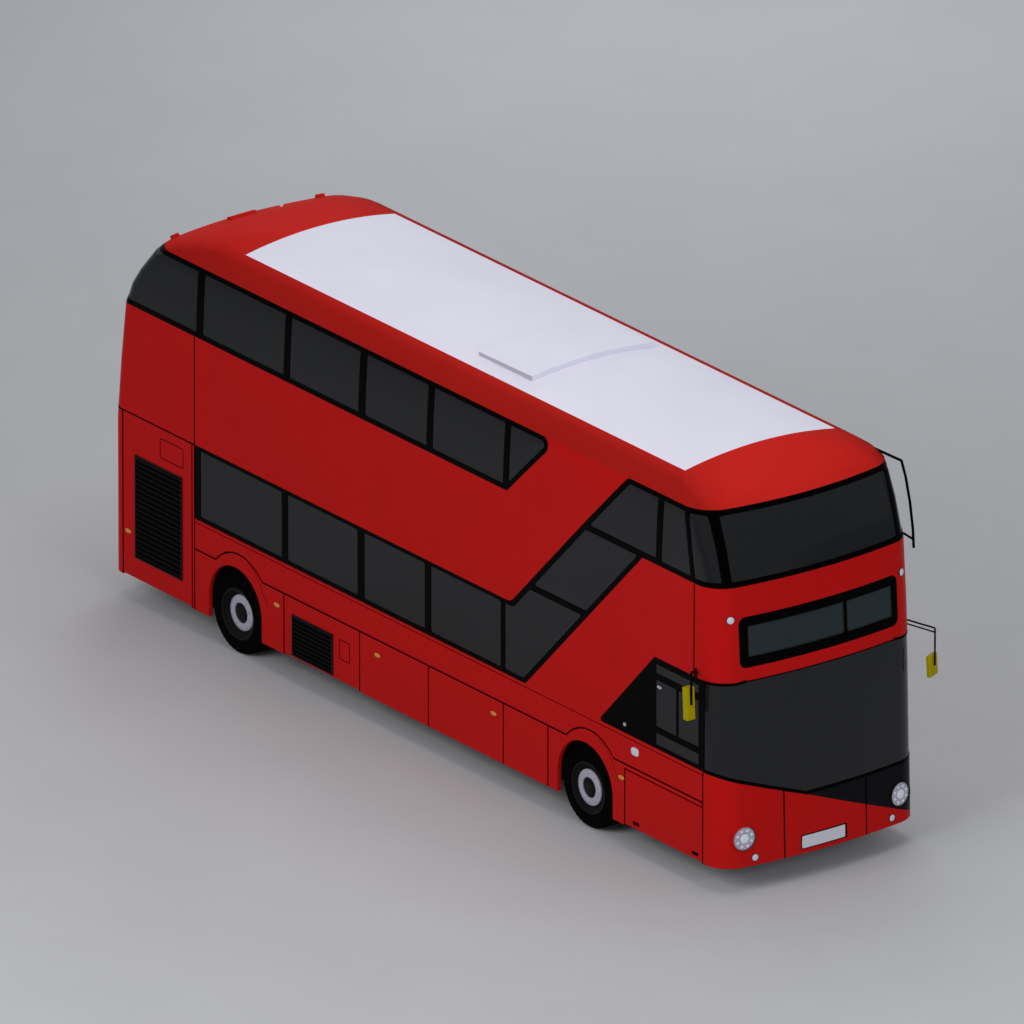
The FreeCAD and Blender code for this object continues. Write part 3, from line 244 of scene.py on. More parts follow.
M["rubber"] = material("tyre_rubber", [0.0016, 0.0016, 0.0018], rough=0.80, ior=1.05, vary=0.25, vary_scale=12, bump=0.25,
                       bump_scale=260, grime=0.03)
M["rim_dark"] = material("rim_dark_paint", [0.0042, 0.0042, 0.0052], ior=1.16, rough=0.42, vary=0.15, vary_scale=20, bump=0.08,
                         bump_scale=200, grime=0.12)
M["rim_bright"] = material("rim_bright_ring", srgb(176, 176, 190), rough=0.36, metal=0.25, coat=0.2, vary=0.06,
                           vary_scale=24, bump=0.03, bump_scale=240)
M["yellow"] = material("yellow_mirror_shell", srgb(162, 147, 0), rough=0.36, ior=1.12, coat=0.0, vary=0.05, vary_scale=10,
                       bump=0.04, bump_scale=300)
M["mirror"] = material("mirror_face", [0.75, 0.76, 0.78], rough=0.03, metal=1.0, vary=0.02, vary_scale=4,
                       rough_vary=0.01)
M["lamp_grey"] = material("lamp_silver", srgb(180, 180, 195), rough=0.28, metal=0.35, coat=0.5, vary=0.05,
                          vary_scale=60)
M["lamp_dot"] = material("lamp_dot_clear", srgb(222, 222, 235), rough=0.12, coat=0.8, vary=0.04, vary_scale=60)
M["lamp_dark"] = material("lamp_recess", [0.05, 0.05, 0.06], rough=0.25, metal=0.6, coat=0.4, vary=0.1,
                          vary_scale=50)
M["white_lamp"] = material("white_lamp_lens", srgb(205, 205, 220), rough=0.2, coat=0.7, vary=0.04, vary_scale=50)
M["amber"] = material("amber_marker_lens", srgb(205, 128, 18), rough=0.2, coat=0.7, vary=0.08, vary_scale=80)
M["tail_red"] = material("red_tail_lens", srgb(176, 10, 12), rough=0.2, coat=0.15, ior=1.2, vary=0.1, vary_scale=120)
M["plate"] = material("blank_plate", srgb(202, 202, 212), rough=0.38, coat=0.2, vary=0.03, vary_scale=12, bump=0.03)
M["floor_vinyl"] = material("vinyl_floor", [0.07, 0.068, 0.072], rough=0.55, vary=0.35, vary_scale=160, bump=0.1,
                            bump_scale=300)
M["ceiling"] = material("interior_lining", [0.33, 0.32, 0.30], rough=0.6, vary=0.05, vary_scale=6, bump=0.05)
M["dash"] = material("dashboard_moulding", [0.02, 0.02, 0.022], rough=0.6, vary=0.12, vary_scale=12, bump=0.3,
                     bump_scale=420)
M["pole"] = material("grab_pole_paint", srgb(196, 150, 30), rough=0.3, coat=0.5, vary=0.05, vary_scale=12)
M["grille"] = material("grille_black", [0.0010, 0.0010, 0.0012], rough=0.7, ior=1.15, vary=0.2, vary_scale=18, bump=0.08)
M["slat"] = material("louvre_slat", [0.0085, 0.0085, 0.0095], rough=0.5, ior=1.2, vary=0.15, vary_scale=18, bump=0.06)


def moquette():
    # woven seat cloth: fine weave bump and small two-tone checks
    m = bpy.data.materials.new("moquette")
    m.use_nodes = True
    N, L = m.node_tree.nodes, m.node_tree.links
    bsdf = N["Principled BSDF"]
    bsdf.inputs["Roughness"].default_value = 0.9
    bsdf.inputs["Sheen Weight"].default_value = 0.5
    co = N.new("ShaderNodeTexCoord")
    vor = N.new("ShaderNodeTexVoronoi")
    vor.distance = "CHEBYCHEV"
    vor.inputs["Scale"].default_value = 22.0
    L.new(co.outputs["Object"], vor.inputs["Vector"])
    ramp = N.new("ShaderNodeValToRGB")
    e = ramp.color_ramp.elements
    e[0].position, e[0].color = 0.0, (0.20, 0.016, 0.02, 1)
    e[1].position, e[1].color = 1.0, (0.05, 0.012, 0.02, 1)
    k = ramp.color_ramp.elements.new(0.45)
    k.color = (0.10, 0.09, 0.10, 1)
    L.new(vor.outputs["Distance"], ramp.inputs["Fac"])
    L.new(ramp.outputs["Color"], bsdf.inputs["Base Color"])
    wv = N.new("ShaderNodeTexNoise")
    wv.inputs["Scale"].default_value = 500.0
    L.new(co.outputs["Object"], wv.inputs["Vector"])
    bp = N.new("ShaderNodeBump")
    bp.inputs["Strength"].default_value = 0.5
    bp.inputs["Distance"].default_value = 0.001
    L.new(wv.outputs["Fac"], bp.inputs["Height"])
    L.new(bp.outputs["Normal"], bsdf.inputs["Normal"])
    return m


M["moquette"] = moquette()


def painted_shade_by_facing(m, top, side, n0, n1):
    # painted shade: the base colour is scaled by the surface's facing, lighter on the upward faces and darker where the
    # surface turns down to either side
    N, L = m.node_tree.nodes, m.node_tree.links
    bsdf = N["Principled BSDF"]
    src = bsdf.inputs["Base Color"].links[0].from_socket
    geo = N.new("ShaderNodeNewGeometry")
    sep = N.new("ShaderNodeSeparateXYZ")
    L.new(geo.outputs["Normal"], sep.inputs[0])
    rng = N.new("ShaderNodeMapRange")
    ab = N.new("ShaderNodeMath")
    ab.operation = "ABSOLUTE"
    L.new(sep.outputs["Y"], ab.inputs[0])
    rng.inputs["From Min"].default_value = n0
    rng.inputs["From Max"].default_value = n1
    rng.inputs["To Min"].default_value = top
    rng.inputs["To Max"].default_value = side
    L.new(ab.outputs[0], rng.inputs["Value"])
    sc = N.new("ShaderNodeVectorMath")
    sc.operation = "SCALE"
    L.new(src, sc.inputs[0])
    L.new(rng.outputs[0], sc.inputs["Scale"])
    L.new(sc.outputs[0], bsdf.inputs["Base Color"])


# painted shade on the roof red and the white roof panel, darker on the faces turned to the sides
painted_shade_by_facing(M["red_roof"], 1.13, 0.66, 0.05, 0.50)
painted_shade_by_facing(M["white"], 1.0, 0.60, 0.30, 0.90)

CAD_LOOK = {
    "red": ["offside_side_panel", "offside_skirt", "nearside_side_panel", "nearside_skirt", "front_panel", "rear_panel",
            "engine_cover", "battery_flap", "front_door_front_leaf", "front_door_rear_leaf",
            "centre_door_front_leaf", "centre_door_rear_leaf", "rear_door", "locker_flap", "offside_engine_door"],
    "red_roof": ["roof_shell"],
    "white": ["roof_centre_panel"],
    "black": ["offside_window_frame", "nearside_window_frame", "upper_windscreen_frame", "rear_window_frame",
              "destination_display", "tree_guard"],
    "black_panel": ["front_corner_panel", "headlamps", "tail_lamps"],
    "glass": ["offside_glass", "nearside_glass", "rear_glass"],
    "screen": ["lower_windscreen", "upper_windscreen"],
    "chassis": ["chassis_rails", "cross_members", "drawbar_member", "front_axle", "rear_axle", "wheel_boxes"],
    "cast": ["left_knuckle", "right_knuckle", "engine_block"],
    "floor_vinyl": ["lower_floor", "upper_floor", "staircase"],
    "ceiling": ["cab_partition"],
    "dash": ["dashboard"],
    "rim_dark": ["front_left_rim", "front_right_rim", "rear_left_rims", "rear_right_rims"],
    "rubber": ["front_left_tyre", "front_right_tyre", "rear_left_tyres", "rear_right_tyres"],
    "moquette": ["lower_deck_seats", "upper_deck_seats"],
    "yellow": ["mirrors"],
}


def smoothing_group():
    # joins a node's split corners and shades it smooth below a corner angle
    g = bpy.data.node_groups.new("smooth_below_angle", "GeometryNodeTree")
    g.interface.new_socket("Geometry", in_out="INPUT", socket_type="NodeSocketGeometry")
    g.interface.new_socket("Geometry", in_out="OUTPUT", socket_type="NodeSocketGeometry")
    N, L = g.nodes, g.links
    gi, go = N.new("NodeGroupInput"), N.new("NodeGroupOutput")
    md = N.new("GeometryNodeMergeByDistance")
    md.inputs["Distance"].default_value = 0.00003
    s1 = N.new("GeometryNodeSetShadeSmooth")
    s2 = N.new("GeometryNodeSetShadeSmooth")
    s2.domain = "EDGE"
    s2.inputs["Shade Smooth"].default_value = False
    ea = N.new("GeometryNodeInputMeshEdgeAngle")
    gt = N.new("FunctionNodeCompare")
    gt.data_type = "FLOAT"
    gt.operation = "GREATER_THAN"
    L.new(ea.outputs["Unsigned Angle"], gt.inputs[0])
    gt.inputs[1].default_value = math.radians(31)
    L.new(gi.outputs[0], md.inputs[0])
    L.new(md.outputs[0], s1.inputs["Geometry"])
    L.new(s1.outputs[0], s2.inputs["Geometry"])
    L.new(gt.outputs[0], s2.inputs["Selection"])
    L.new(s2.outputs[0], go.inputs[0])
    return g


SMOOTH = smoothing_group()


def smooth(o):
    m = o.modifiers.new("smooth_below_angle", "NODES")
    m.node_group = SMOOTH


for key, names in CAD_LOOK.items():
    for n in names:
        o = NODES[n]
        o.data.materials.clear()
        o.data.materials.append(M[key])
        if o.data.has_custom_normals:
            bpy.context.view_layer.objects.active = o
            bpy.ops.mesh.customdata_custom_splitnormals_clear()
        smooth(o)

# ------------------------------------------------------------------ camera, light, floor
AZ, EL = math.radians(53.0), math.radians(21.9)       # the viewing direction of a parallel view
back = Vector((math.sin(AZ) * math.cos(EL), -math.cos(AZ) * math.cos(EL), math.sin(EL)))
right = Vector((math.cos(AZ), math.sin(AZ), 0.0))
up = back.cross(right).normalized()
SCALE = 98.4
seam_point = Vector((XS, -1.275, ZS))
target = seam_point + right * ((512 - 702.2) / SCALE) + up * ((862 - 512) / SCALE)
cam_data = bpy.data.cameras.new("camera")
cam_data.lens = 1500.0
cam_data.sensor_width = 36.0
half_angle = math.atan(18.0 / 1500.0)
dist = (1024 / SCALE / 2) / math.tan(half_angle)
cam_data.clip_start, cam_data.clip_end = 1.0, 900.0
cam = bpy.data.objects.new("camera", cam_data)
scene.collection.objects.link(cam)
cam.rotation_mode = "QUATERNION"
# the long lens stands a hair off that direction, where its slight perspective evens out over the bus
AZ2, EL2 = math.radians(52.9534219), math.radians(21.9196105)
back2 = Vector((math.sin(AZ2) * math.cos(EL2), -math.cos(AZ2) * math.cos(EL2), math.sin(EL2)))
right2 = Vector((math.cos(AZ2), math.sin(AZ2), 0.0))
up2 = back2.cross(right2).normalized()
cam.location = target + right * 0.009283 - up * 0.003574 + back2 * 430.5614
cam.rotation_quaternion = (-back2).to_track_quat("-Z", "Y")
scene.camera = cam


def area(name, loc, size, power, colour=(1, 1, 1)):
    d = bpy.data.lights.new(name, "AREA")
    d.shape = "RECTANGLE"
    d.size, d.size_y = size
    d.energy = power
    d.color = colour
    o = bpy.data.objects.new(name, d)
    scene.collection.objects.link(o)
    o.location = loc
    o.rotation_mode = "QUATERNION"
    o.rotation_quaternion = (Vector((0, 0, 1.8)) - Vector(loc)).to_track_quat("-Z", "Y")
    return o


area("key_soft", (4.5, -21, 15), (16, 10), 2330, (1.0, 0.985, 0.965)).visible_glossy = False
area("fill_front", (24, -4, 9), (11, 9), 1270, (0.97, 0.98, 1.0)).visible_glossy = False
area("fill_back", (-17, 16, 11), (13, 10), 1100, (0.97, 0.98, 1.0)).visible_glossy = False
area("top_soft", (0, 2, 19), (18, 12), 1000)
world = bpy.data.worlds.new("studio")
scene.world = world
world.use_nodes = True
world.node_tree.nodes["Background"].inputs[0].default_value = (0.80, 0.82, 0.86, 1)
world.node_tree.nodes["Background"].inputs[1].default_value = 0.36
scene.view_settings.view_transform = "Standard"

bm = bmesh.new()
bmesh.ops.create_grid(bm, x_segments=2, y_segments=2, size=420.0)
fm = bpy.data.meshes.new("studio_floor")
bm.to_mesh(fm)
bm.free()
floor = bpy.data.objects.new("studio_floor", fm)
scene.collection.objects.link(floor)
floor.location.z = -0.002
fm.materials.append(material("pale_floor", [0.52, 0.53, 0.55], rough=0.7, vary=0.02, vary_scale=0.6, bump=0.03,
                             bump_scale=40))

# ------------------------------------------------------------------ mesh builders
class Batch:
    # many small shapes joined into one mesh
    def __init__(self):
        self.v, self.f = [], []

    def add(self, verts, faces):
        k = len(self.v)
        self.v.extend(Vector(p) for p in verts)
        self.f.extend(tuple(i + k for i in f) for f in faces)

    def ribbon(self, pts, w, hi=0.0012, lo=-0.004, closed=False):
        # flat strip along (point, normal) pairs, w wide, standing hi above the surface
        n = len(pts)
        rows = []
        for i in range(n):
            p, nn = pts[i]
            if closed:
                a, b = pts[i - 1][0], pts[(i + 1) % n][0]
            else:
                a, b = pts[max(0, i - 1)][0], pts[min(n - 1, i + 1)][0]
            t = (b - a).normalized()
            s = nn.cross(t).normalized() * (w / 2)
            if 0 < i < n - 1 or closed:
                d1 = (p - a).normalized()
                c = max(0.5, math.sqrt(max(0.0, (1 + d1.dot((b - p).normalized())) / 2)))
                s = s / c
            rows.append([p - s + nn * lo, p - s + nn * hi, p + s + nn * hi, p + s + nn * lo])
        verts = [q for r in rows for q in r]
        faces = []
        last = n if closed else n - 1
        for i in range(last):
            j = (i + 1) % n
            for k in range(4):
                m = (k + 1) % 4
                faces.append((i * 4 + k, i * 4 + m, j * 4 + m, j * 4 + k))
        if not closed:
            faces.append((3, 2, 1, 0))
            e = (n - 1) * 4
            faces.append((e, e + 1, e + 2, e + 3))
        self.add(verts, faces)

    def block(self, c, ax, ay, az, sx, sy, sz, r=0.0):
        # box on three unit axes, its edges chamfered by r
        c = Vector(c)
        if r <= 0:
            vs = [c + ax * (i * sx / 2) + ay * (j * sy / 2) + az * (k * sz / 2)
                  for i in (-1, 1) for j in (-1, 1) for k in (-1, 1)]
            fs = [(0, 1, 3, 2), (4, 6, 7, 5), (0, 4, 5, 1), (2, 3, 7, 6), (0, 2, 6, 4), (1, 5, 7, 3)]
            self.add(vs, fs)
            return
        bm = bmesh.new()
        bmesh.ops.create_cube(bm, size=1.0)
        for v in bm.verts:
            v.co = Vector((v.co.x * sx, v.co.y * sy, v.co.z * sz))
        bmesh.ops.bevel(bm, geom=bm.edges[:], offset=r, segments=3, profile=0.6, affect="EDGES")
        bm.verts.ensure_lookup_table()
        self.add([c + ax * v.co.x + ay * v.co.y + az * v.co.z for v in bm.verts],
                 [[v.index for v in f.verts] for f in bm.faces])
        bm.free()

    def lathe(self, origin, axis, profile, seg=48, ref=None):
        # profile: (radius, distance along axis); closed at the ends if the radius is 0
        axis = Vector(axis).normalized()
        u = (ref or (Vector((0, 0, 1)) if abs(axis.z) < 0.9 else Vector((1, 0, 0))))
        u = (u - axis * u.dot(axis)).normalized()
        w = axis.cross(u)
        verts, rings = [], []
        for r, h in profile:
            if r < 1e-6:
                rings.append([len(verts)])
                verts.append(Vector(origin) + axis * h)
            else:
                ring = []
                for i in range(seg):
                    a = 2 * math.pi * i / seg
                    ring.append(len(verts))
                    verts.append(Vector(origin) + axis * h + (u * math.cos(a) + w * math.sin(a)) * r)
                rings.append(ring)
        faces = []
        for a, b in zip(rings, rings[1:]):
            if len(a) == 1 and len(b) == 1:
                continue
            for i in range(seg):
                j = (i + 1) % seg
                if len(a) == 1:
                    faces.append((a[0], b[j], b[i]))
                elif len(b) == 1:
                    faces.append((a[i], a[j], b[0]))
                else:
                    faces.append((a[i], a[j], b[j], b[i]))
        self.add(verts, faces)

    def tube(self, pts, r, seg=14):
        pts = [Vector(p) for p in pts]
        rings = []
        verts = []
        for i, p in enumerate(pts):
            a, b = pts[max(0, i - 1)], pts[min(len(pts) - 1, i + 1)]
            t = (b - a).normalized()
            u = t.cross(Vector((0.31, 0.17, 0.93))).normalized()
            w = t.cross(u)
            ring = []
            for k in range(seg):
                g = 2 * math.pi * k / seg
                ring.append(len(verts))
                verts.append(p + (u * math.cos(g) + w * math.sin(g)) * r)
            rings.append(ring)
        faces = []
        for a, b in zip(rings, rings[1:]):
            for k in range(seg):
                m = (k + 1) % seg
                faces.append((a[k], a[m], b[m], b[k]))
        faces.append(tuple(reversed(rings[0])))
        faces.append(tuple(rings[-1]))
        self.add(verts, faces)

    def patch(self, fn, u0, u1, v0, v1, r, lift, thick, nu=26):
        # rounded rectangle laid on a curved wall; fn(u, v) gives point and normal
        us = sorted(set([u0 + (u1 - u0) * i / nu for i in range(nu + 1)]
                        + [u0 + r * (1 - math.cos(a * math.pi / 16)) for a in range(9) if r > 0]
                        + [u1 - r * (1 - math.cos(a * math.pi / 16)) for a in range(9) if r > 0]))
        top, bot = [], []
        cols = []
        for u in us:
            d = min(u - u0, u1 - u)
            ins = r - math.sqrt(max(0.0, r * r - (r - d) ** 2)) if d < r else 0.0
            cols.append((u, v0 + ins, v1 - ins))
        rows = 6
        verts, faces = [], []
        for u, a, b in cols:
            for k in range(rows + 1):
                p, n = fn(u, a + (b - a) * k / rows)
                verts.append(p + n * lift)
            for k in range(rows + 1):
                p, n = fn(u, a + (b - a) * k / rows)
                verts.append(p + n * (lift - thick))
        w = 2 * (rows + 1)
        for i in range(len(cols) - 1):
            for k in range(rows):
                a = i * w + k
                faces.append((a, a + w, a + w + 1, a + 1))
                c = a + rows + 1
                faces.append((c, c + 1, c + w + 1, c + w))
            for k in (0, rows):
                a = i * w + k
                c = a + rows + 1
                faces.append((a, c, c + w, a + w) if k == 0 else (a, a + w, c + w, c))
        for i in (0, len(cols) - 1):
            for k in range(rows):
                a = i * w + k
                c = a + rows + 1
                faces.append((a, a + 1, c + 1, c) if i == 0 else (a, c, c + 1, a + 1))
        self.add(verts, faces)

    def obj(self, name, mat, body, flat=False, clean=True):
        me = bpy.data.meshes.new(name)
        me.from_pydata(self.v, [], self.f)
        me.validate()
        if clean:
            bm = bmesh.new()
            bm.from_mesh(me)
            bmesh.ops.recalc_face_normals(bm, faces=bm.faces[:])
            bm.to_mesh(me)
            bm.free()
        o = bpy.data.objects.new(name, me)
        scene.collection.objects.link(o)
        me.materials.append(M[mat])
        if not flat:
            smooth(o)
        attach(o, body)
        return o


EX, EY, EZ = Vector((1, 0, 0)), Vector((0, 1, 0)), Vector((0, 0, 1))
BODY = "bus_body"


def side_fn(side):
    return lambda x, z: on_side(x, z, side)


def side_line(b, side, pts, w, hi=0.0012, closed=False):
    # long uprights are followed in short steps, so the line keeps to the curved side
    if len(pts) < 5:
        fine = [pts[0]]
        for (xa, za), (xb, zb) in zip(pts, pts[1:]):
            m = max(1, int(abs(zb - za) / .10))
            fine += [(xa + (xb - xa) * k / m, za + (zb - za) * k / m) for k in range(1, m + 1)]
        pts = fine
    b.ribbon([on_side(x, z, side) for x, z in pts], w, hi=hi, closed=closed)


def outline(b, side, x0, x1, z0, z1, w, r=0.02, hi=0.0012):
    pts = []
    for cx, cz, a0 in ((x1 - r, z0 + r, -90), (x1 - r, z1 - r, 0), (x0 + r, z1 - r, 90), (x0 + r, z0 + r, 180)):
        for k in range(5):
            a = math.radians(a0 + k * 22.5)
            pts.append((cx + r * math.cos(a), cz + r * math.sin(a)))
    side_line(b, side, pts, w, hi=hi, closed=True)


# ------------------------------------------------------------------ panel gaps
SEAM_W = 0.0165
gaps = Batch()
AXLES = (-1.995, -7.891)
SEAM_Z = .668
# the seam rises over each wheel arch in a half round set a little ahead of the axle: middle, height, radius
RISES = ((-1.885, .322, .5235), (-7.829, .322, .5235))


def rise(cx, cz, r):
    a0 = math.asin((SEAM_Z - cz) / r)
    n = 26
    return [(cx - r * math.cos(a0 + (math.pi - 2 * a0) * k / n), cz + r * math.sin(a0 + (math.pi - 2 * a0) * k / n))
            for k in range(n + 1)]


def low_seam(side, x0, x1):
    # horizontal seam with a rounded rise over each wheel arch
    pts = [(x0, SEAM_Z)]
    for cx, cz, r in sorted(RISES):
        if x0 < cx < x1:
            pts += rise(cx, cz, r)
    pts.append((x1, SEAM_Z))
    side_line(gaps, side, pts, 0.0175)


low_seam(-1, -8.585, -0.004)
for s, xs in ((-1, (-4.607, -3.340, -2.590)), (1, (-7.057, -5.775, -2.590))):
    for x in xs:
        side_line(gaps, s, [(x, 0.002), (x, SEAM_Z)], SEAM_W)
low_seam(1, -8.56, -4.60)
low_seam(1, -3.36, -1.36)
for s in (-1, 1):
    # front seam, stepping back above the cab window
    side_line(gaps, s, [(-.002, 0.0), (-.002, 1.0)], SEAM_W)
    side_line(gaps, s, [(-.152, 2.006), (-.152, 3.0)], SEAM_W)
    side_line(gaps, s, [(-8.583, 1.80), (-8.583, 3.0)], SEAM_W)
    # belt line, a fine raised bead
side_line(gaps, -1, [(-8.585, 0.0), (-8.585, 1.80)], SEAM_W)
side_line(gaps, -1, [(-8.575, .964), (-.004, .964)], 0.0075)
side_line(gaps, 1, [(-8.56, .964), (-4.60, .964)], 0.0065)
side_line(gaps, 1, [(-3.36, .964), (-1.36, .964)], 0.0065)
side_line(gaps, 1, [(-9.813, 0.0), (-9.813, 1.81)], SEAM_W)
side_line(gaps, -1, [(-9.879, 1.812), (-8.585, 1.812)], SEAM_W)
side_line(gaps, 1, [(-9.879, 1.812), (-9.497, 1.812)], SEAM_W)
# shut lines of the offside engine door, on the body beside it
for x in (-9.8180, -8.6262):
    side_line(gaps, -1, [(x, 0.002), (x, 1.803)], 0.0125)
# and of the two flaps under the low seam
for x, top in ((-7.0617, .659), (-5.7706, .659), (-1.3052, .617)):
    side_line(gaps, -1, [(x, 0.002), (x, top)], 0.0125)
side_line(gaps, -1, [(-1.3105, .6165), (-.006, .6165)], 0.0095)
gaps.ribbon([on_rear(1.2745 * math.sin(math.pi / 2 * k / 44), 1.812) for k in range(-44, 45)], SEAM_W, hi=.0022)
for y in (-.52, .52):
    top = .62 if y > 0 else .632 + (-.245 - y) * .362
    gaps.ribbon([on_front(y, z * top / 12) for z in range(13)], SEAM_W)
LIP = [(-1.74, .797), (-1.66, .768), (-1.585, .712), (-1.525, .635), (-1.468, .545), (-1.425, .475), (-1.398, .430)]
for s in (-1, 1):
    # fine lip line ahead of each wheel arch
    for shift in (0.0, -5.944):
        if s < 0 or shift < 0:
            side_line(gaps, s, [(x + shift, z) for x, z in LIP], .0032)
gaps.obj("panel_gaps", "seam", BODY)

# ------------------------------------------------------------------ windscreen and roof edge strips
strips = Batch()


def round_front(y0, y1, n, z):
    # points along the front, crowded together where it turns round the corners
    t0, t1 = math.asin(y0 / 1.2745), math.asin(y1 / 1.2745)
    return [on_front(1.2745 * math.sin(t0 + (t1 - t0) * k / n), z(1.2745 * math.sin(t0 + (t1 - t0) * k / n)))
            for k in range(n + 1)]


strips.ribbon(round_front(-1.2735, 1.2735, 110, lambda y: 1.9935), 0.012, hi=0.0018)
for s in (-1, 1):
    strips.ribbon(round_front(s * .93, s * 1.2735, 44, lambda y: 1.9985 - .0155 * min(1, (abs(y) - .93) / .14)), 0.028, hi=0.0021)
slant = round_front(-1.2735, -.245, 60, lambda y: 1.003 - (y + 1.27) * .362 + .014)
flat_part = round_front(-.235, 1.2735, 70, lambda y: .646)
strips.ribbon(slant + flat_part, 0.034, hi=0.0020)
for s in (-1, 1):
    strips.ribbon([on_side(0.006, z / 20 * .985 + 1.01, s) for z in range(21)], 0.022, hi=0.0015)
strips.obj("windscreen_edge_strips", "black", BODY)

# ------------------------------------------------------------------ grilles and louvres
def grille(name, fn, u0, u1, v0, v1, count, body, along, lean=.60, out0=.007, deep=.013):
    back_plate = Batch()
    back_plate.patch(fn, u0, u1, v0, v1, 0.012, 0.0016, 0.004, nu=4)
    back_plate.obj(name + "_backing", "grille", body)
    sl = Batch()
    pitch = (v1 - v0 - .02) / count
    for i in range(count):
        v = v0 + .012 + pitch * (i + .5)
        p, n = fn((u0 + u1) / 2, v)
        tilt = (EZ * 0.80 + n * lean).normalized()
        out = along.cross(tilt).normalized()
        sl.block(p + n * out0, along, tilt, out, (u1 - u0) - .03, pitch * .52, .0022, r=0.0007)
    for u in (u0 + .008, u1 - .008):
        p, n = fn(u, (v0 + v1) / 2)
        sl.block(p + n * out0, along, EZ, n, .016, v1 - v0, deep, r=0.002)
    for v in (v0 + .007, v1 - .007):
        p, n = fn((u0 + u1) / 2, v)
        sl.block(p + n * out0, along, EZ, n, u1 - u0, .014, deep, r=0.002)
    sl.obj(name + "_slats", "slat", body)


grille("engine_grille", side_fn(-1), -9.600, -8.790, .247, 1.382, 20, "offside_engine_door_body", EX)
grille("battery_grille", side_fn(-1), -6.915, -6.220, .037, .486, 9, "battery_flap_body", EX)
grille("rear_engine_grille", on_rear, -.62, .62, .40, .86, 9, "engine_cover_body", EY, lean=.16, out0=.0016, deep=.006)

flaps = Batch()
outline(flaps, -1, -9.172, -8.780, 1.486, 1.698, .0095)
flaps.obj("filler_flap_outline", "seam", "offside_engine_door_body")
flaps = Batch()
outline(flaps, -1, -6.113, -5.942, .256, .467, .0090, r=.012)
flaps.obj("charge_flap_outline", "seam", "battery_flap_body")
slots = Batch()
for x in (-1.112, -.128):
    slots.patch(side_fn(-1), x - .052, x + .052, .056, .090, .008, .0015, .004, nu=4)
slots.obj("locker_slots", "seam", "locker_flap_body")

# ------------------------------------------------------------------ small lamps on the sides
def dome_patch(b, fn, u, v, su, sv, h, seg=24, square=4):
    # low rounded lens: rings shrinking towards its crown
    p0, n = fn(u, v)
    pu, _ = fn(u + .01, v)
    t = (pu - p0).normalized()
    w = n.cross(t)
    prof = [(1.0, -.004), (1.0, h * .45), (.93, h * .72), (.78, h * .9), (.5, h), (0, h * 1.03)]
    verts, faces, rings = [], [], []
    for f, hh in prof:
        if f == 0:
            rings.append([len(verts)])
            verts.append(p0 + n * hh)
            continue
        ring = []
        for i in range(seg):
            a = 2 * math.pi * i / seg
            ca, sa = math.cos(a), math.sin(a)
            k = (abs(ca) ** square + abs(sa) ** square) ** (-1.0 / square)
            ring.append(len(verts))
            verts.append(p0 + t * (ca * k * su / 2 * f) + w * (sa * k * sv / 2 * f) + n * hh)
        rings.append(ring)
    for a, b2 in zip(rings, rings[1:]):
        for i in range(seg):
            j = (i + 1) % seg
            faces.append((a[i], a[j], b2[0]) if len(b2) == 1 else (a[i], a[j], b2[j], b2[i]))
    b.add(verts, faces)


for tag, body, marks in (("skirt", BODY, [(-1, -7.177), (-1, -5.467), (-1, -3.502), (-1, -1.357), (1, -9.72), (1, -7.177),
                                         (1, -5.467), (1, -3.25), (1, -2.70)]),
                         ("door", "offside_engine_door_body", [(-1, -9.72)])):
    am, base = Batch(), Batch()
    for s, x in marks:
        dome_patch(am, side_fn(s), x, .502, .098, .047, .011, square=2)
        dome_patch(base, side_fn(s), x, .502, .103, .052, .003, square=2)
    am.obj("amber_markers_" + tag, "amber", body)
    base.obj("marker_bases_" + tag, "seal", body)
wl = Batch()
for s in (-1, 1):
    dome_patch(wl, side_fn(s), -1.129 if s < 0 else -1.435, .855, .122, .088, .016, square=3.2)
wl.obj("side_repeater_lamps", "white_lamp", BODY)
dot = Batch()
dome_patch(dot, side_fn(-1), -1.30, 1.10, .036, .036, .014)
dome_patch(dot, side_fn(-1), -.724, 1.690, .075, .032, .010, square=2.4)
dot.obj("cab_window_fittings", "lamp_grey", BODY)

# ------------------------------------------------------------------ front lamps
def frame_at(p, n):
    t = EZ.cross(n).normalized()
    return t, n.cross(t)


HEAD = [(-.99, .309), (.99, .309)]
bez, bez2, edge, bowl, centre, dots = Batch(), Batch(), Batch(), Batch(), Batch(), Batch()
for y, z in HEAD:
    p, n = on_front(y, z)
    t, w = frame_at(p, n)
    (bez if y < 0 else bez2).lathe(p, n, [(.1265, .002), (.1275, .0110), (.1310, .0135), (.1360, .0120), (.1405, .0065), (.1440, -.002), (.1450, -.016)], 64)
    edge.lathe(p, n, [(.1235, .0005), (.1245, .0062), (.1268, .0100), (.1284, .0112)], 64)
    bowl.lathe(p, n, [(.1245, -.003), (.118, -.0005), (.105, .0008), (.084, .0045), (.063, .003), (.055, -.001), (0, -.001)], 64)
    centre.lathe(p, n, [(.050, -.002), (.050, .006), (.047, .009), (.032, .0125), (0, .014)], 40)
    for k in range(8):
        a = math.pi * k / 4 + math.pi / 8
        q = p + t * (math.cos(a) * .088) + w * (math.sin(a) * .088) + n * .003
        dots.lathe(q, n, [(.0165, -.003), (.0165, .003), (.014, .006), (.007, .0078), (0, .0082)], 18)
bez.obj("offside_headlamp_bezel", "red", BODY)
bez2.obj("nearside_headlamp_bezel", "black_panel", BODY)
edge.obj("headlamp_seals", "seal", BODY)
bowl.obj("headlamp_bowls", "lamp_grey", BODY)
centre.obj("headlamp_centres", "lamp_dot", BODY)
dots.obj("headlamp_dots", "lamp_dot", BODY)
fog, fogr = Batch(), Batch()
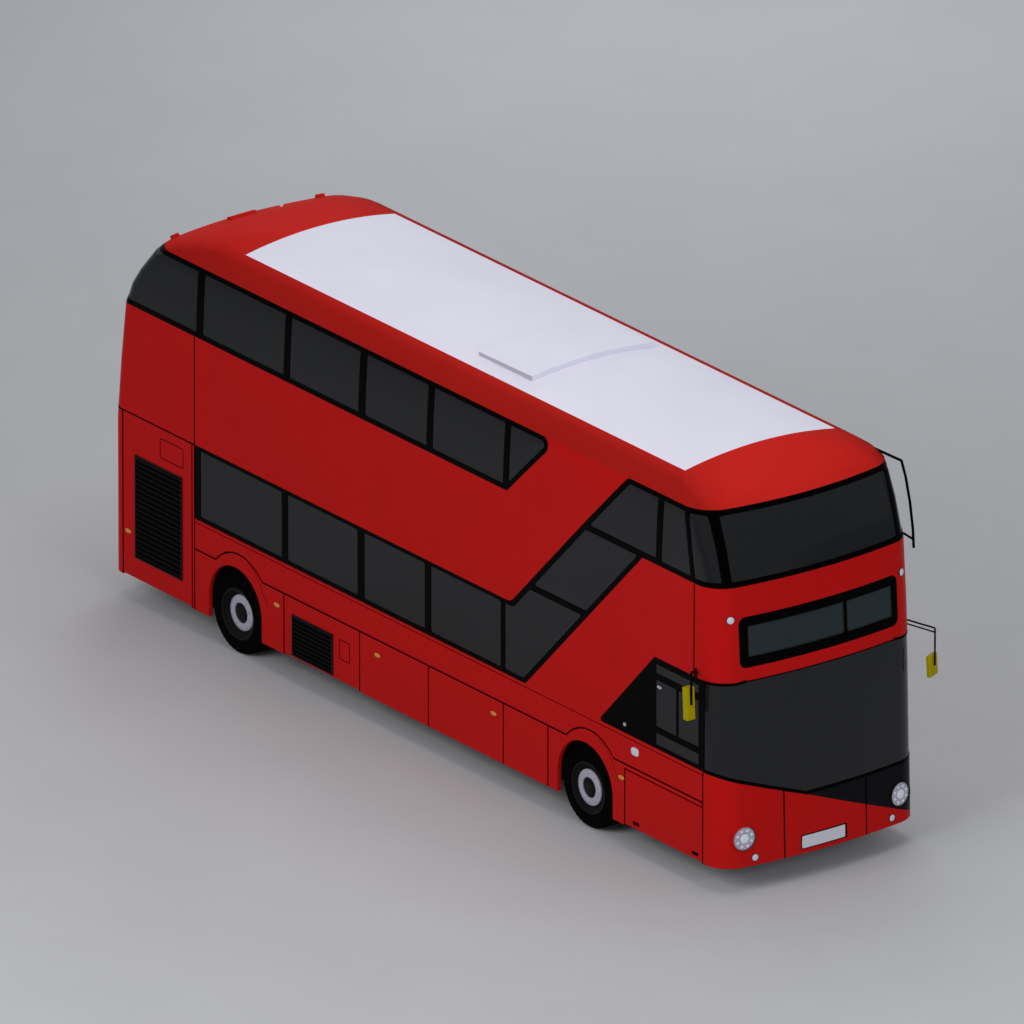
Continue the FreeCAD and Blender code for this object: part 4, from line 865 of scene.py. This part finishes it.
for y, z in ((-.87, .085), (.87, .085)):
    p, n = on_front(y, z)
    fog.lathe(p, n, [(.036, -.003), (.036, .004), (.030, .009), (.016, .0125), (0, .0135)], 32)
    fogr.lathe(p, n, [(.036, -.003), (.0365, .0055), (.042, .006), (.044, -.003)], 32)
for y, z in ((-1.083, 2.669), (1.083, 2.669)):
    p, n = on_front(y, z)
    fog.lathe(p, n, [(.038, -.003), (.038, .006), (.032, .012), (.017, .016), (0, .017)], 32)
    fogr.lathe(p, n, [(.038, -.003), (.0385, .0045), (.043, .005), (.045, -.003)], 32)
fog.obj("front_position_lamps", "white_lamp", BODY)
fogr.obj("front_lamp_rings", "seal", BODY)

# ------------------------------------------------------------------ destination panes and blank plates
pane = Batch()
pane.patch(on_front, -.890, .255, 2.262, 2.566, .006, -.001, .004)
pane.patch(on_front, .322, .902, 2.262, 2.566, .006, -.001, .004, nu=14)
pane.obj("destination_panes", "display", BODY)
rimb = Batch()
for a, b2 in ((-.890, .255), (.322, .902)):
    pts = []
    for cx, cz, a0 in ((b2 - .008, 2.270, -90), (b2 - .008, 2.558, 0), (a + .008, 2.558, 90), (a + .008, 2.270, 180)):
        for k in range(5):
            g = math.radians(a0 + k * 22.5)
            pts.append((cx + .014 * math.cos(g), cz + .014 * math.sin(g)))
    dense = []
    for (ya, za), (yb, zb) in zip(pts, pts[1:] + pts[:1]):
        m = max(1, int(abs(yb - ya) / .06))
        dense += [(ya + (yb - ya) * k / m, za + (zb - za) * k / m) for k in range(m)]
    rimb.ribbon([on_front(y, z) for y, z in dense], .012, hi=0.002, closed=True)
rimb.obj("destination_pane_rims", "seal", BODY)

pl, pr = Batch(), Batch()
pl.patch(on_front, -.308, .236, .057, .188, .012, .0024, .006, nu=12)
pr.patch(on_front, -.320, .262, .045, .201, .014, .0010, .006, nu=12)
pl.patch(on_rear, -.260, .260, .205, .262, .008, .0022, .006, nu=10)
pr.patch(on_rear, -.285, .285, .190, .276, .010, .0010, .006, nu=10)
pl.obj("blank_number_plates", "plate", BODY)
pr.obj("plate_recesses", "seam", BODY)

# ------------------------------------------------------------------ tail lamps, rear fittings
tl, tr, ta = Batch(), Batch(), Batch()
for s in (-1, 1):
    for k, z in enumerate((.50, .66, .82)):
        p, n = on_rear(s * 1.075, z)
        bt = (tl, ta, tl)[k]
        bt.lathe(p, n, [(.054, -.010), (.054, .002), (.050, .006), (.030, .010), (0, .0115)], 36)
        tr.lathe(p, n, [(.054, -.008), (.0545, .0045), (.0595, .0045), (.061, -.008)], 36)
tl.obj("tail_lamp_lenses", "tail_red", BODY)
ta.obj("rear_indicator_lenses", "amber", BODY)
tr.obj("tail_lamp_rings", "seal", BODY)

hood, eye = Batch(), Batch()
for bt, y, z, sy, sz, h in ((hood, -.925, 3.766, .100, .050, .040), (hood, .925, 3.766, .100, .050, .040),
                            (hood, -.10, 3.812, .340, .070, .034), (eye, .35, 3.835, .036, .036, .022)):
    p, n = on_rear(y, z)
    t = EZ.cross(n).normalized()
    if bt is hood:
        hood.block(p + n * (h * .3), t, n.cross(t).normalized(), n, sy, sz, h, r=.014)
    else:
        eye.lathe(p, n, [(.018, -.006), (.018, .012), (.014, .019), (.007, .022), (0, .0225)], 20)
hood.obj("rear_roof_fittings", "red_roof", BODY)
eye.obj("rear_roof_lamps", "white_lamp", BODY)

# ------------------------------------------------------------------ mirrors
arm, shell_m, glass_m = Batch(), Batch(), Batch()


def smooth_path(pts, k=6):
    out = []
    pts = [Vector(p) for p in pts]
    for i in range(len(pts) - 1):
        p0, p1, p2, p3 = pts[max(0, i - 1)], pts[i], pts[i + 1], pts[min(len(pts) - 1, i + 2)]
        for j in range(k):
            t = j / k
            out.append(0.5 * ((2 * p1) + (p2 - p0) * t + (2 * p0 - 5 * p1 + 4 * p2 - p3) * t * t
                              + (3 * p1 - p0 - 3 * p2 + p3) * t ** 3))
    out.append(pts[-1])
    return out


arm.tube(smooth_path([(XS - .112, -1.268, ZS + 2.045), (XS - .085, -1.305, ZS + 2.075), (XS - .04, -1.36, ZS + 2.105),
                      (XS + .006, -1.422, ZS + 2.128), (XS + .018, -1.437, ZS + 2.115), (XS + .018, -1.437, ZS + 2.08)], 5)
         + [Vector((XS + .018, -1.437, ZS + 1.780))], .0125)
arm.block((XS - .113, -1.275, ZS + 2.045), EX, EY, EZ, .036, .022, .098, r=.005)
tip = Vector((XS + .329, 1.420, 0))
arm.tube(smooth_path([(XS + .03, 1.243, ZS + 2.069), (XS + .18, 1.331, ZS + 2.043), (XS + .315, 1.4125, ZS + 2.020),
                      (XS + .328, 1.4195, ZS + 2.012), (XS + .329, 1.420, ZS + 1.995)], 5)
         + [Vector((XS + .329, 1.420, ZS + 1.612))], .0095)
arm.tube([(XS + .03, 1.243, ZS + 2.025), (XS + .329, 1.420, ZS + 1.973)], .0080)
arm.block((XS + .035, 1.250, ZS + 2.047), Vector((.87, .50, 0)), Vector((-.50, .87, 0)), EZ, .03, .035, .10, r=.006)
TURN = math.radians(24.3)
nf, nw = Vector((math.cos(TURN), math.sin(TURN), 0)), Vector((-math.sin(TURN), math.cos(TURN), 0))
HOUSINGS = [((XS - .023, -1.4375, ZS + 1.7875), EX, EY, .074, .105, .353, (.035, 0)),
            ((XS + .299, 1.4062, ZS + 1.612), nf, nw, .048, .165, .232, (.030, 0))]
for c, f, w, sx, sy, sz, lean in HOUSINGS:
    tilt = (EZ - f * .055).normalized()
    fn = w.cross(tilt).normalized()
    shell_m.block(c, fn, w, tilt, sx, sy, sz * .995, r=.011 if sx > .05 else .015)
    glass_m.block(Vector(c) - fn * (sx / 2 - .0005), fn, w, tilt, .003, sy - .036, sz - .040, r=.0012)
    arm.block(Vector(c) - fn * (sx / 2 - .0005), fn, w, tilt, .0016, sy - .026, sz - .030, r=.0006)
a1 = arm.obj("mirror_arms", "black", BODY)
a2 = shell_m.obj("mirror_housings", "yellow", BODY)
a3 = glass_m.obj("mirror_faces", "mirror", BODY)
for o in (a1, a2, a3):
    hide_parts("mirrors")

# ------------------------------------------------------------------ tyres and wheels
def tyre_profile():
    w, r, b = .262, .433, .250
    half = [(b, .36 * w), (b + .008, .385 * w), (b + .014, .40 * w), (.285, .452 * w), (.300, .470 * w), (.303, .481 * w),
            (.309, .481 * w), (.312, .474 * w), (.3315, .4985 * w), (.352, .4985 * w), (.385, .485 * w), (.395, .478 * w),
            (.398, .470 * w), (.402, .470 * w), (.417, .44 * w), (.4295, .375 * w), (.4315, .33 * w)]
    groove = [(.4315, .088), (.4225, .086), (.4225, .078), (.4322, .076), (.4328, .037), (.4225, .035), (.4225, .027),
              (.433, .025)]
    side = half + groove
    return [(r_, -y) for r_, y in side] + [(r_, y) for r_, y in reversed(side)]


def tyre_mesh(b, x, y, z, seg=132):
    prof = tyre_profile()
    verts, faces = [], []
    n = len(prof)
    for i in range(seg):
        a = 2 * math.pi * i / seg
        for r, h in prof:
            q = r
            if abs(h) > .080 and r > .412 and i % 3 == 0:
                q = r - .0085
            verts.append(Vector((x + q * math.cos(a), y + h, z + q * math.sin(a))))
    for i in range(seg):
        j = (i + 1) % seg
        for k in range(n):
            m = (k + 1) % n
            faces.append((i * n + k, i * n + m, j * n + m, j * n + k))
    b.add(verts, faces)


FRONT_X, REAR_X, WHEEL_Z, TWIN = 2.822, -3.074, .433, .302
for name, x, s, twin in (("front_left", FRONT_X, 1, False), ("front_right", FRONT_X, -1, False),
                         ("rear_left", REAR_X, 1, True), ("rear_right", REAR_X, -1, True)):
    body = name + ("_wheels" if twin else "_wheel")
    WHEEL_Y = 1.124 if twin else 1.094
    b = Batch()
    tyre_mesh(b, x, s * WHEEL_Y, WHEEL_Z)
    if twin:
        tyre_mesh(b, x, s * (WHEEL_Y - TWIN), WHEEL_Z)
    o = b.obj(name + "_tread_tyre" + ("s" if twin else ""), "rubber", body)
    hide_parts(name + ("_tyres" if twin else "_tyre"))
    c, ax = Vector((x, s * WHEEL_Y, WHEEL_Z)), Vector((0, s, 0))
    face = .080 if twin else .110          # where the bright ring stands
    ring, dark, nuts = Batch(), Batch(), Batch()
    ring.lathe(c, ax, [(.109, face - .020), (.110, face - .002), (.116, face + .003), (.150, face + .0045),
                       (.180, face - .001), (.191, face - .008), (.195, face - .020)], 72)
    dark.lathe(c, ax, [(.2495, .099), (.2465, .1045), (.240, .1045), (.232, .0985), (.222, .086 if not twin else .074),
                       (.208, .078 if not twin else .062), (.196, face - .024), (.190, face - .026)], 72)
    # guard ring lying against the tyre, outside the rim edge
    dark.lathe(c, ax, [(.2490, .1060), (.2530, .1145), (.2600, .1190), (.2700, .1222), (.2780, .1215), (.2805, .1180)], 72)
    hub = face - .016
    dark.lathe(c, ax, [(.1100, hub - .006), (.1090, hub), (.102, hub + .0015), (.078, hub), (.074, hub + .006),
                       (.062, hub + .010), (.030, hub + .0125), (0, hub + .013)], 48)
    for k in range(10):
        a = 2 * math.pi * (k + .5) / 10
        p = c + Vector((math.cos(a) * .150, 0, math.sin(a) * .150)) + ax * (face - .002)
        nuts.lathe(p, ax, [(.0135, 0), (.0135, .0075), (.0125, .0085), (.0105, .0087), (.0100, .012), (.0070, .0130),
                           (0, .0132)], 6)
    ring.obj(name + "_wheel_ring", "rim_bright", body)
    dark.obj(name + "_hub_cap", "rim_dark", body)
    nuts.obj(name + "_wheel_nuts", "rim_bright", body)

# ------------------------------------------------------------------ door leaves
LEAVES = [("front_door_rear_leaf", 3.489, 4.098, 1), ("front_door_front_leaf", 4.106, 4.715, -1),
          ("centre_door_rear_leaf", .259, .833, 1), ("centre_door_front_leaf", .841, 1.415, -1),
          ("rear_door", -4.671, -3.785, 0)]


def framed(b, y, ny, x0, x1, z0, z1, w, hi, r=.03):
    pts = []
    for cx, cz, a0 in ((x1 - r, z0 + r, -90), (x1 - r, z1 - r, 0), (x0 + r, z1 - r, 90), (x0 + r, z0 + r, 180)):
        for k in range(5):
            a = math.radians(a0 + k * 22.5)
            pts.append((Vector((cx + r * math.cos(a), y, cz + r * math.sin(a))), Vector((0, ny, 0))))
    b.ribbon(pts, w, hi=hi, closed=True)


for name, x0, x1, lead in LEAVES:
    body = name + "_body"
    g, k, h = Batch(), Batch(), Batch()
    gx0, gx1, gz0, gz1 = x0 + .057, x1 - .057, .574, 2.178
    flat = lambda yy, ny: (lambda u, v: (Vector((u, yy, v)), Vector((0, ny, 0))))
    g.patch(flat(1.2690, 1), gx0, gx1, gz0, gz1, .02, .0016, .0022, nu=4)
    g.patch(flat(1.2330, -1), gx0, gx1, gz0, gz1, .02, .0016, .0022, nu=4)
    g.obj(name + "_glass", "glass", body)
    framed(k, 1.2690, 1, gx0 + .008, gx1 - .008, gz0 + .008, gz1 - .008, .030, .0028, r=.028)
    framed(k, 1.2330, -1, gx0 + .008, gx1 - .008, gz0 + .008, gz1 - .008, .030, .0028, r=.028)
    for xs in (x0 + .006, x1 - .006):
        k.block((xs, 1.2692, 1.321), EX, EY, EZ, .010, .0012, 1.84)
    k.block(((x0 + x1) / 2, 1.2692, .399), EX, EY, EZ, x1 - x0 - .004, .0012, .012)
    k.obj(name + "_seals", "seal", body)
    hx = (x1 - .09) if lead > 0 else (x0 + .09) if lead < 0 else x0 + .10
    h.tube(smooth_path([(hx, 1.236, .98), (hx, 1.214, .99), (hx, 1.208, 1.03), (hx, 1.208, 1.35), (hx, 1.208, 1.67),
                        (hx, 1.214, 1.71), (hx, 1.236, 1.72)], 4), .0125)
    h.obj(name + "_grab_handle", "pole", body)
# door hinge knuckles, three at each jamb
for name, xh in (("front_door_front_leaf", 4.69), ("front_door_rear_leaf", 3.514), ("centre_door_front_leaf", 1.390),
                 ("centre_door_rear_leaf", .284), ("rear_door", -3.810)):
    kn = Batch()
    for z in (.55, 1.30, 2.06):
        kn.lathe((xh, 1.251, z - .045), (0, 0, 1), [(0, 0), (.0155, 0), (.0165, .002), (.0165, .088), (.0155, .09), (0, .09)], 20)
    kn.obj(name + "_hinge_barrels", "steel", name + "_body")

# ------------------------------------------------------------------ seats
def cushion(b, c, ax, ay, az, sx, sy, sz, crown, n=12):
    # crowned closed form: full in the middle, pulled in between the corners, a piped seam round the waist
    c = Vector(c)

    def pt(u, v, top):
        pin = .018 * (1 - v * v)
        pinv = .018 * (1 - u * u)
        x = u * (sx / 2 - pin * abs(u))
        y = v * (sy / 2 - pinv * abs(v))
        e = max(0.0, (1 - abs(u) ** 5) * (1 - abs(v) ** 5)) ** .42
        z = (sz * .28 + crown * (1 - .55 * u * u) * (1 - .55 * v * v)) * e + sz * .20
        if not top:
            z = -(sz * .42) * e ** .8 + sz * .12 - .0
        return c + ax * x + ay * y + az * z
    verts, faces = [], []
    st = [math.sin(math.pi / 2 * (-1 + 2 * i / n)) for i in range(n + 1)]
    for top in (True, False):
        for i in range(n + 1):
            for j in range(n + 1):
                verts.append(pt(st[i], st[j], top))
    m = (n + 1) ** 2
    for i in range(n):
        for j in range(n):
            a = i * (n + 1) + j
            faces.append((a, a + n + 1, a + n + 2, a + 1))
            faces.append((m + a, m + a + 1, m + a + n + 2, m + a + n + 1))
    ring = [i * (n + 1) for i in range(n + 1)] + [n * (n + 1) + j for j in range(1, n + 1)] \
        + [i * (n + 1) + n for i in range(n - 1, -1, -1)] + [j for j in range(n - 1, 0, -1)]
    for k in range(len(ring)):
        p, q = ring[k], ring[(k + 1) % len(ring)]
        faces.append((p, q, m + q, m + p))
    b.add(verts, faces)


def seat_set(name, rows, floor_z, node):
    cb, sh, gr, pp = Batch(), Batch(), Batch(), Batch()
    for x, y, width in rows:
        halves = (-1, 1) if width > .6 else (0,)
        lean = Vector((-.10, 0, .995)).normalized()
        nrm = Vector((.995, 0, .10)).normalized()
        for hside in halves:
            cy = y + hside * width / 4
            w = width / 2 - .012 if hside else width - .02
            cushion(cb, (x - .215, cy, floor_z + .425), EX, EY, EZ, .45, w, .085, .022)
            cushion(cb, (x - .455, cy, floor_z + .715), lean, EY, nrm, .52, w - .02, .075, .016)
            sh.block((x - .492, cy, floor_z + .725), lean, EY, nrm, .56, w, .022, r=.010)
            head = Vector((x - .487, cy, floor_z + .715)) + lean * .262
            gr.tube(smooth_path([head + EY * (-w / 2 + .03) - lean * .05, head + EY * (-w / 2 + .035) + lean * .008,
                                 head + EY * (-w / 2 + .075) + lean * .020, head + lean * .020,
                                 head + EY * (w / 2 - .075) + lean * .020, head + EY * (w / 2 - .035) + lean * .008,
                                 head + EY * (w / 2 - .03) - lean * .05], 3), .0105, seg=10)
        sh.block((x - .23, y, floor_z + .386), EX, EY, EZ, .44, width - .03, .018, r=.006)
        sh.block((x - .24, y, floor_z + .19), EX, EY, EZ, .10, width * .34, .375, r=.02)
        sh.block((x - .24, y, floor_z + .012), EX, EY, EZ, .28, width * .46, .02, r=.007)
    o = cb.obj(name + "_cushions", "moquette", BODY)
    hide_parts(node)
    s2 = sh.obj(name + "_seat_shells", "dash", BODY)
    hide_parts(node)
    gr.obj(name + "_seat_grab_rails", "pole", BODY)


M["moquette"] = M["moquette"] if "moquette" in M else moquette()
lower_rows = [(XS + x / 1000, s * .770, .86) for x, s in ((-4900, -1), (-5650, -1), (-6400, -1), (-5000, 1), (-5700, 1),
                                                          (-6400, 1), (-3400, -1))] + [(XS - .520, -.760, .48)]
upper_rows = [(XS - 1.0 - .76 * i, s * .750, .86) for i in range(10) for s in (1, -1) if s > 0 or -1000 - 760 * i < -3700]
upper_rows.append((XS - .520, -.720, .86))
seat_set("lower_deck", lower_rows, .380, "lower_deck_seats")
seat_set("upper_deck", upper_rows, 2.420, "upper_deck_seats")

# ------------------------------------------------------------------ poles, rails, stair fittings
poles = Batch()
for x, y in ((3.35, .38), (1.52, .42), (.20, .42), (-.25, -.36), (-1.05, .36), (-1.75, -.36), (2.30, .40)):
    poles.tube([(x, y, .384), (x, y, 1.3), (x, y, 2.322)], .016, seg=16)
    for z in (.384, 2.314):
        poles.lathe((x, y, z), (0, 0, 1), [(0, 0), (.034, 0), (.032, .005), (.018, .008), (0, .008)], 20)
for y in (.38, -.38):
    poles.tube([(-1.9, y, 2.20), (-.6, y, 2.20), (1.4, y, 2.20)], .014, seg=14)
    for x in (-1.85, -.2, 1.35):
        poles.tube([(x, y, 2.20), (x, y, 2.322)], .010, seg=12)
for y in (.33, -.33):
    poles.tube([(-3.3, y, 4.06), (0.0, y, 4.06), (3.2, y, 4.06)], .014, seg=14)
    for x in (-3.25, -1.1, 1.1, 3.15):
        poles.tube([(x, y, 4.06), (x, y, 4.21)], .010, seg=12)
# stair handrail, and the guard rail round the stairwell
rise, going, foot = (2.420 - .380) / 9, .205, XS - 3.190
rail_pts = [(foot + .04, -.585, .45), (foot + .04, -.585, 1.28), (foot + .12, -.585, 1.40)]
rail_pts += [(foot + .12 + going * k, -.585, 1.40 + rise * k) for k in range(1, 4)]
poles.tube(smooth_path(rail_pts, 4), .015, seg=14)
for (xa, ya), (xb, yb) in (((1.60, -.545), (3.30, -.545)), ((1.60, -.545), (1.60, -1.13))):
    for z in (2.95, 3.30):
        poles.tube([(xa, ya, z), (xb, yb, z)], .014, seg=14)
for x, y in ((1.60, -.545), (2.45, -.545), (3.30, -.545), (1.60, -1.13)):
    poles.tube([(x, y, 2.422), (x, y, 3.30)], .015, seg=14)
poles.obj("grab_poles_and_rails", "pole", BODY)
nose = Batch()
for i in range(8):
    z = .380 + (i + 1) * rise
    nose.block((foot + i * going + .012, -.9075, z + .001), EX, EY, EZ, .022, .59, .003)
nose.obj("stair_nosings", "pole", BODY)

# ------------------------------------------------------------------ underside and inside linings
und = Batch()
for x, y, sx, sy in ((.35, -.86, 1.5, .46), (-.95, -.86, .9, .46), (-.6, 0, 1.9, .62), (1.1, 0, 1.0, .60), (3.9, .8, .9, .5)):
    und.block((x, y, .309), EX, EY, EZ, sx, sy, .052, r=.014)
und.tube(smooth_path([(-4.3, -.25, .30), (-4.0, .55, .30), (-4.3, .75, .30), (-4.75, .78, .295), (-5.02, .78, .293)], 6), .020)
und.obj("underside_trays_and_exhaust", "chassis", BODY)
lin = Batch()
lin.patch(lambda u, v: (Vector((u, v, 2.3268)), Vector((0, 0, -1))), -4.85, 3.55, -1.18, 1.18, .06, .0025, .002, nu=10)
lin.obj("lower_saloon_ceiling", "ceiling", BODY)
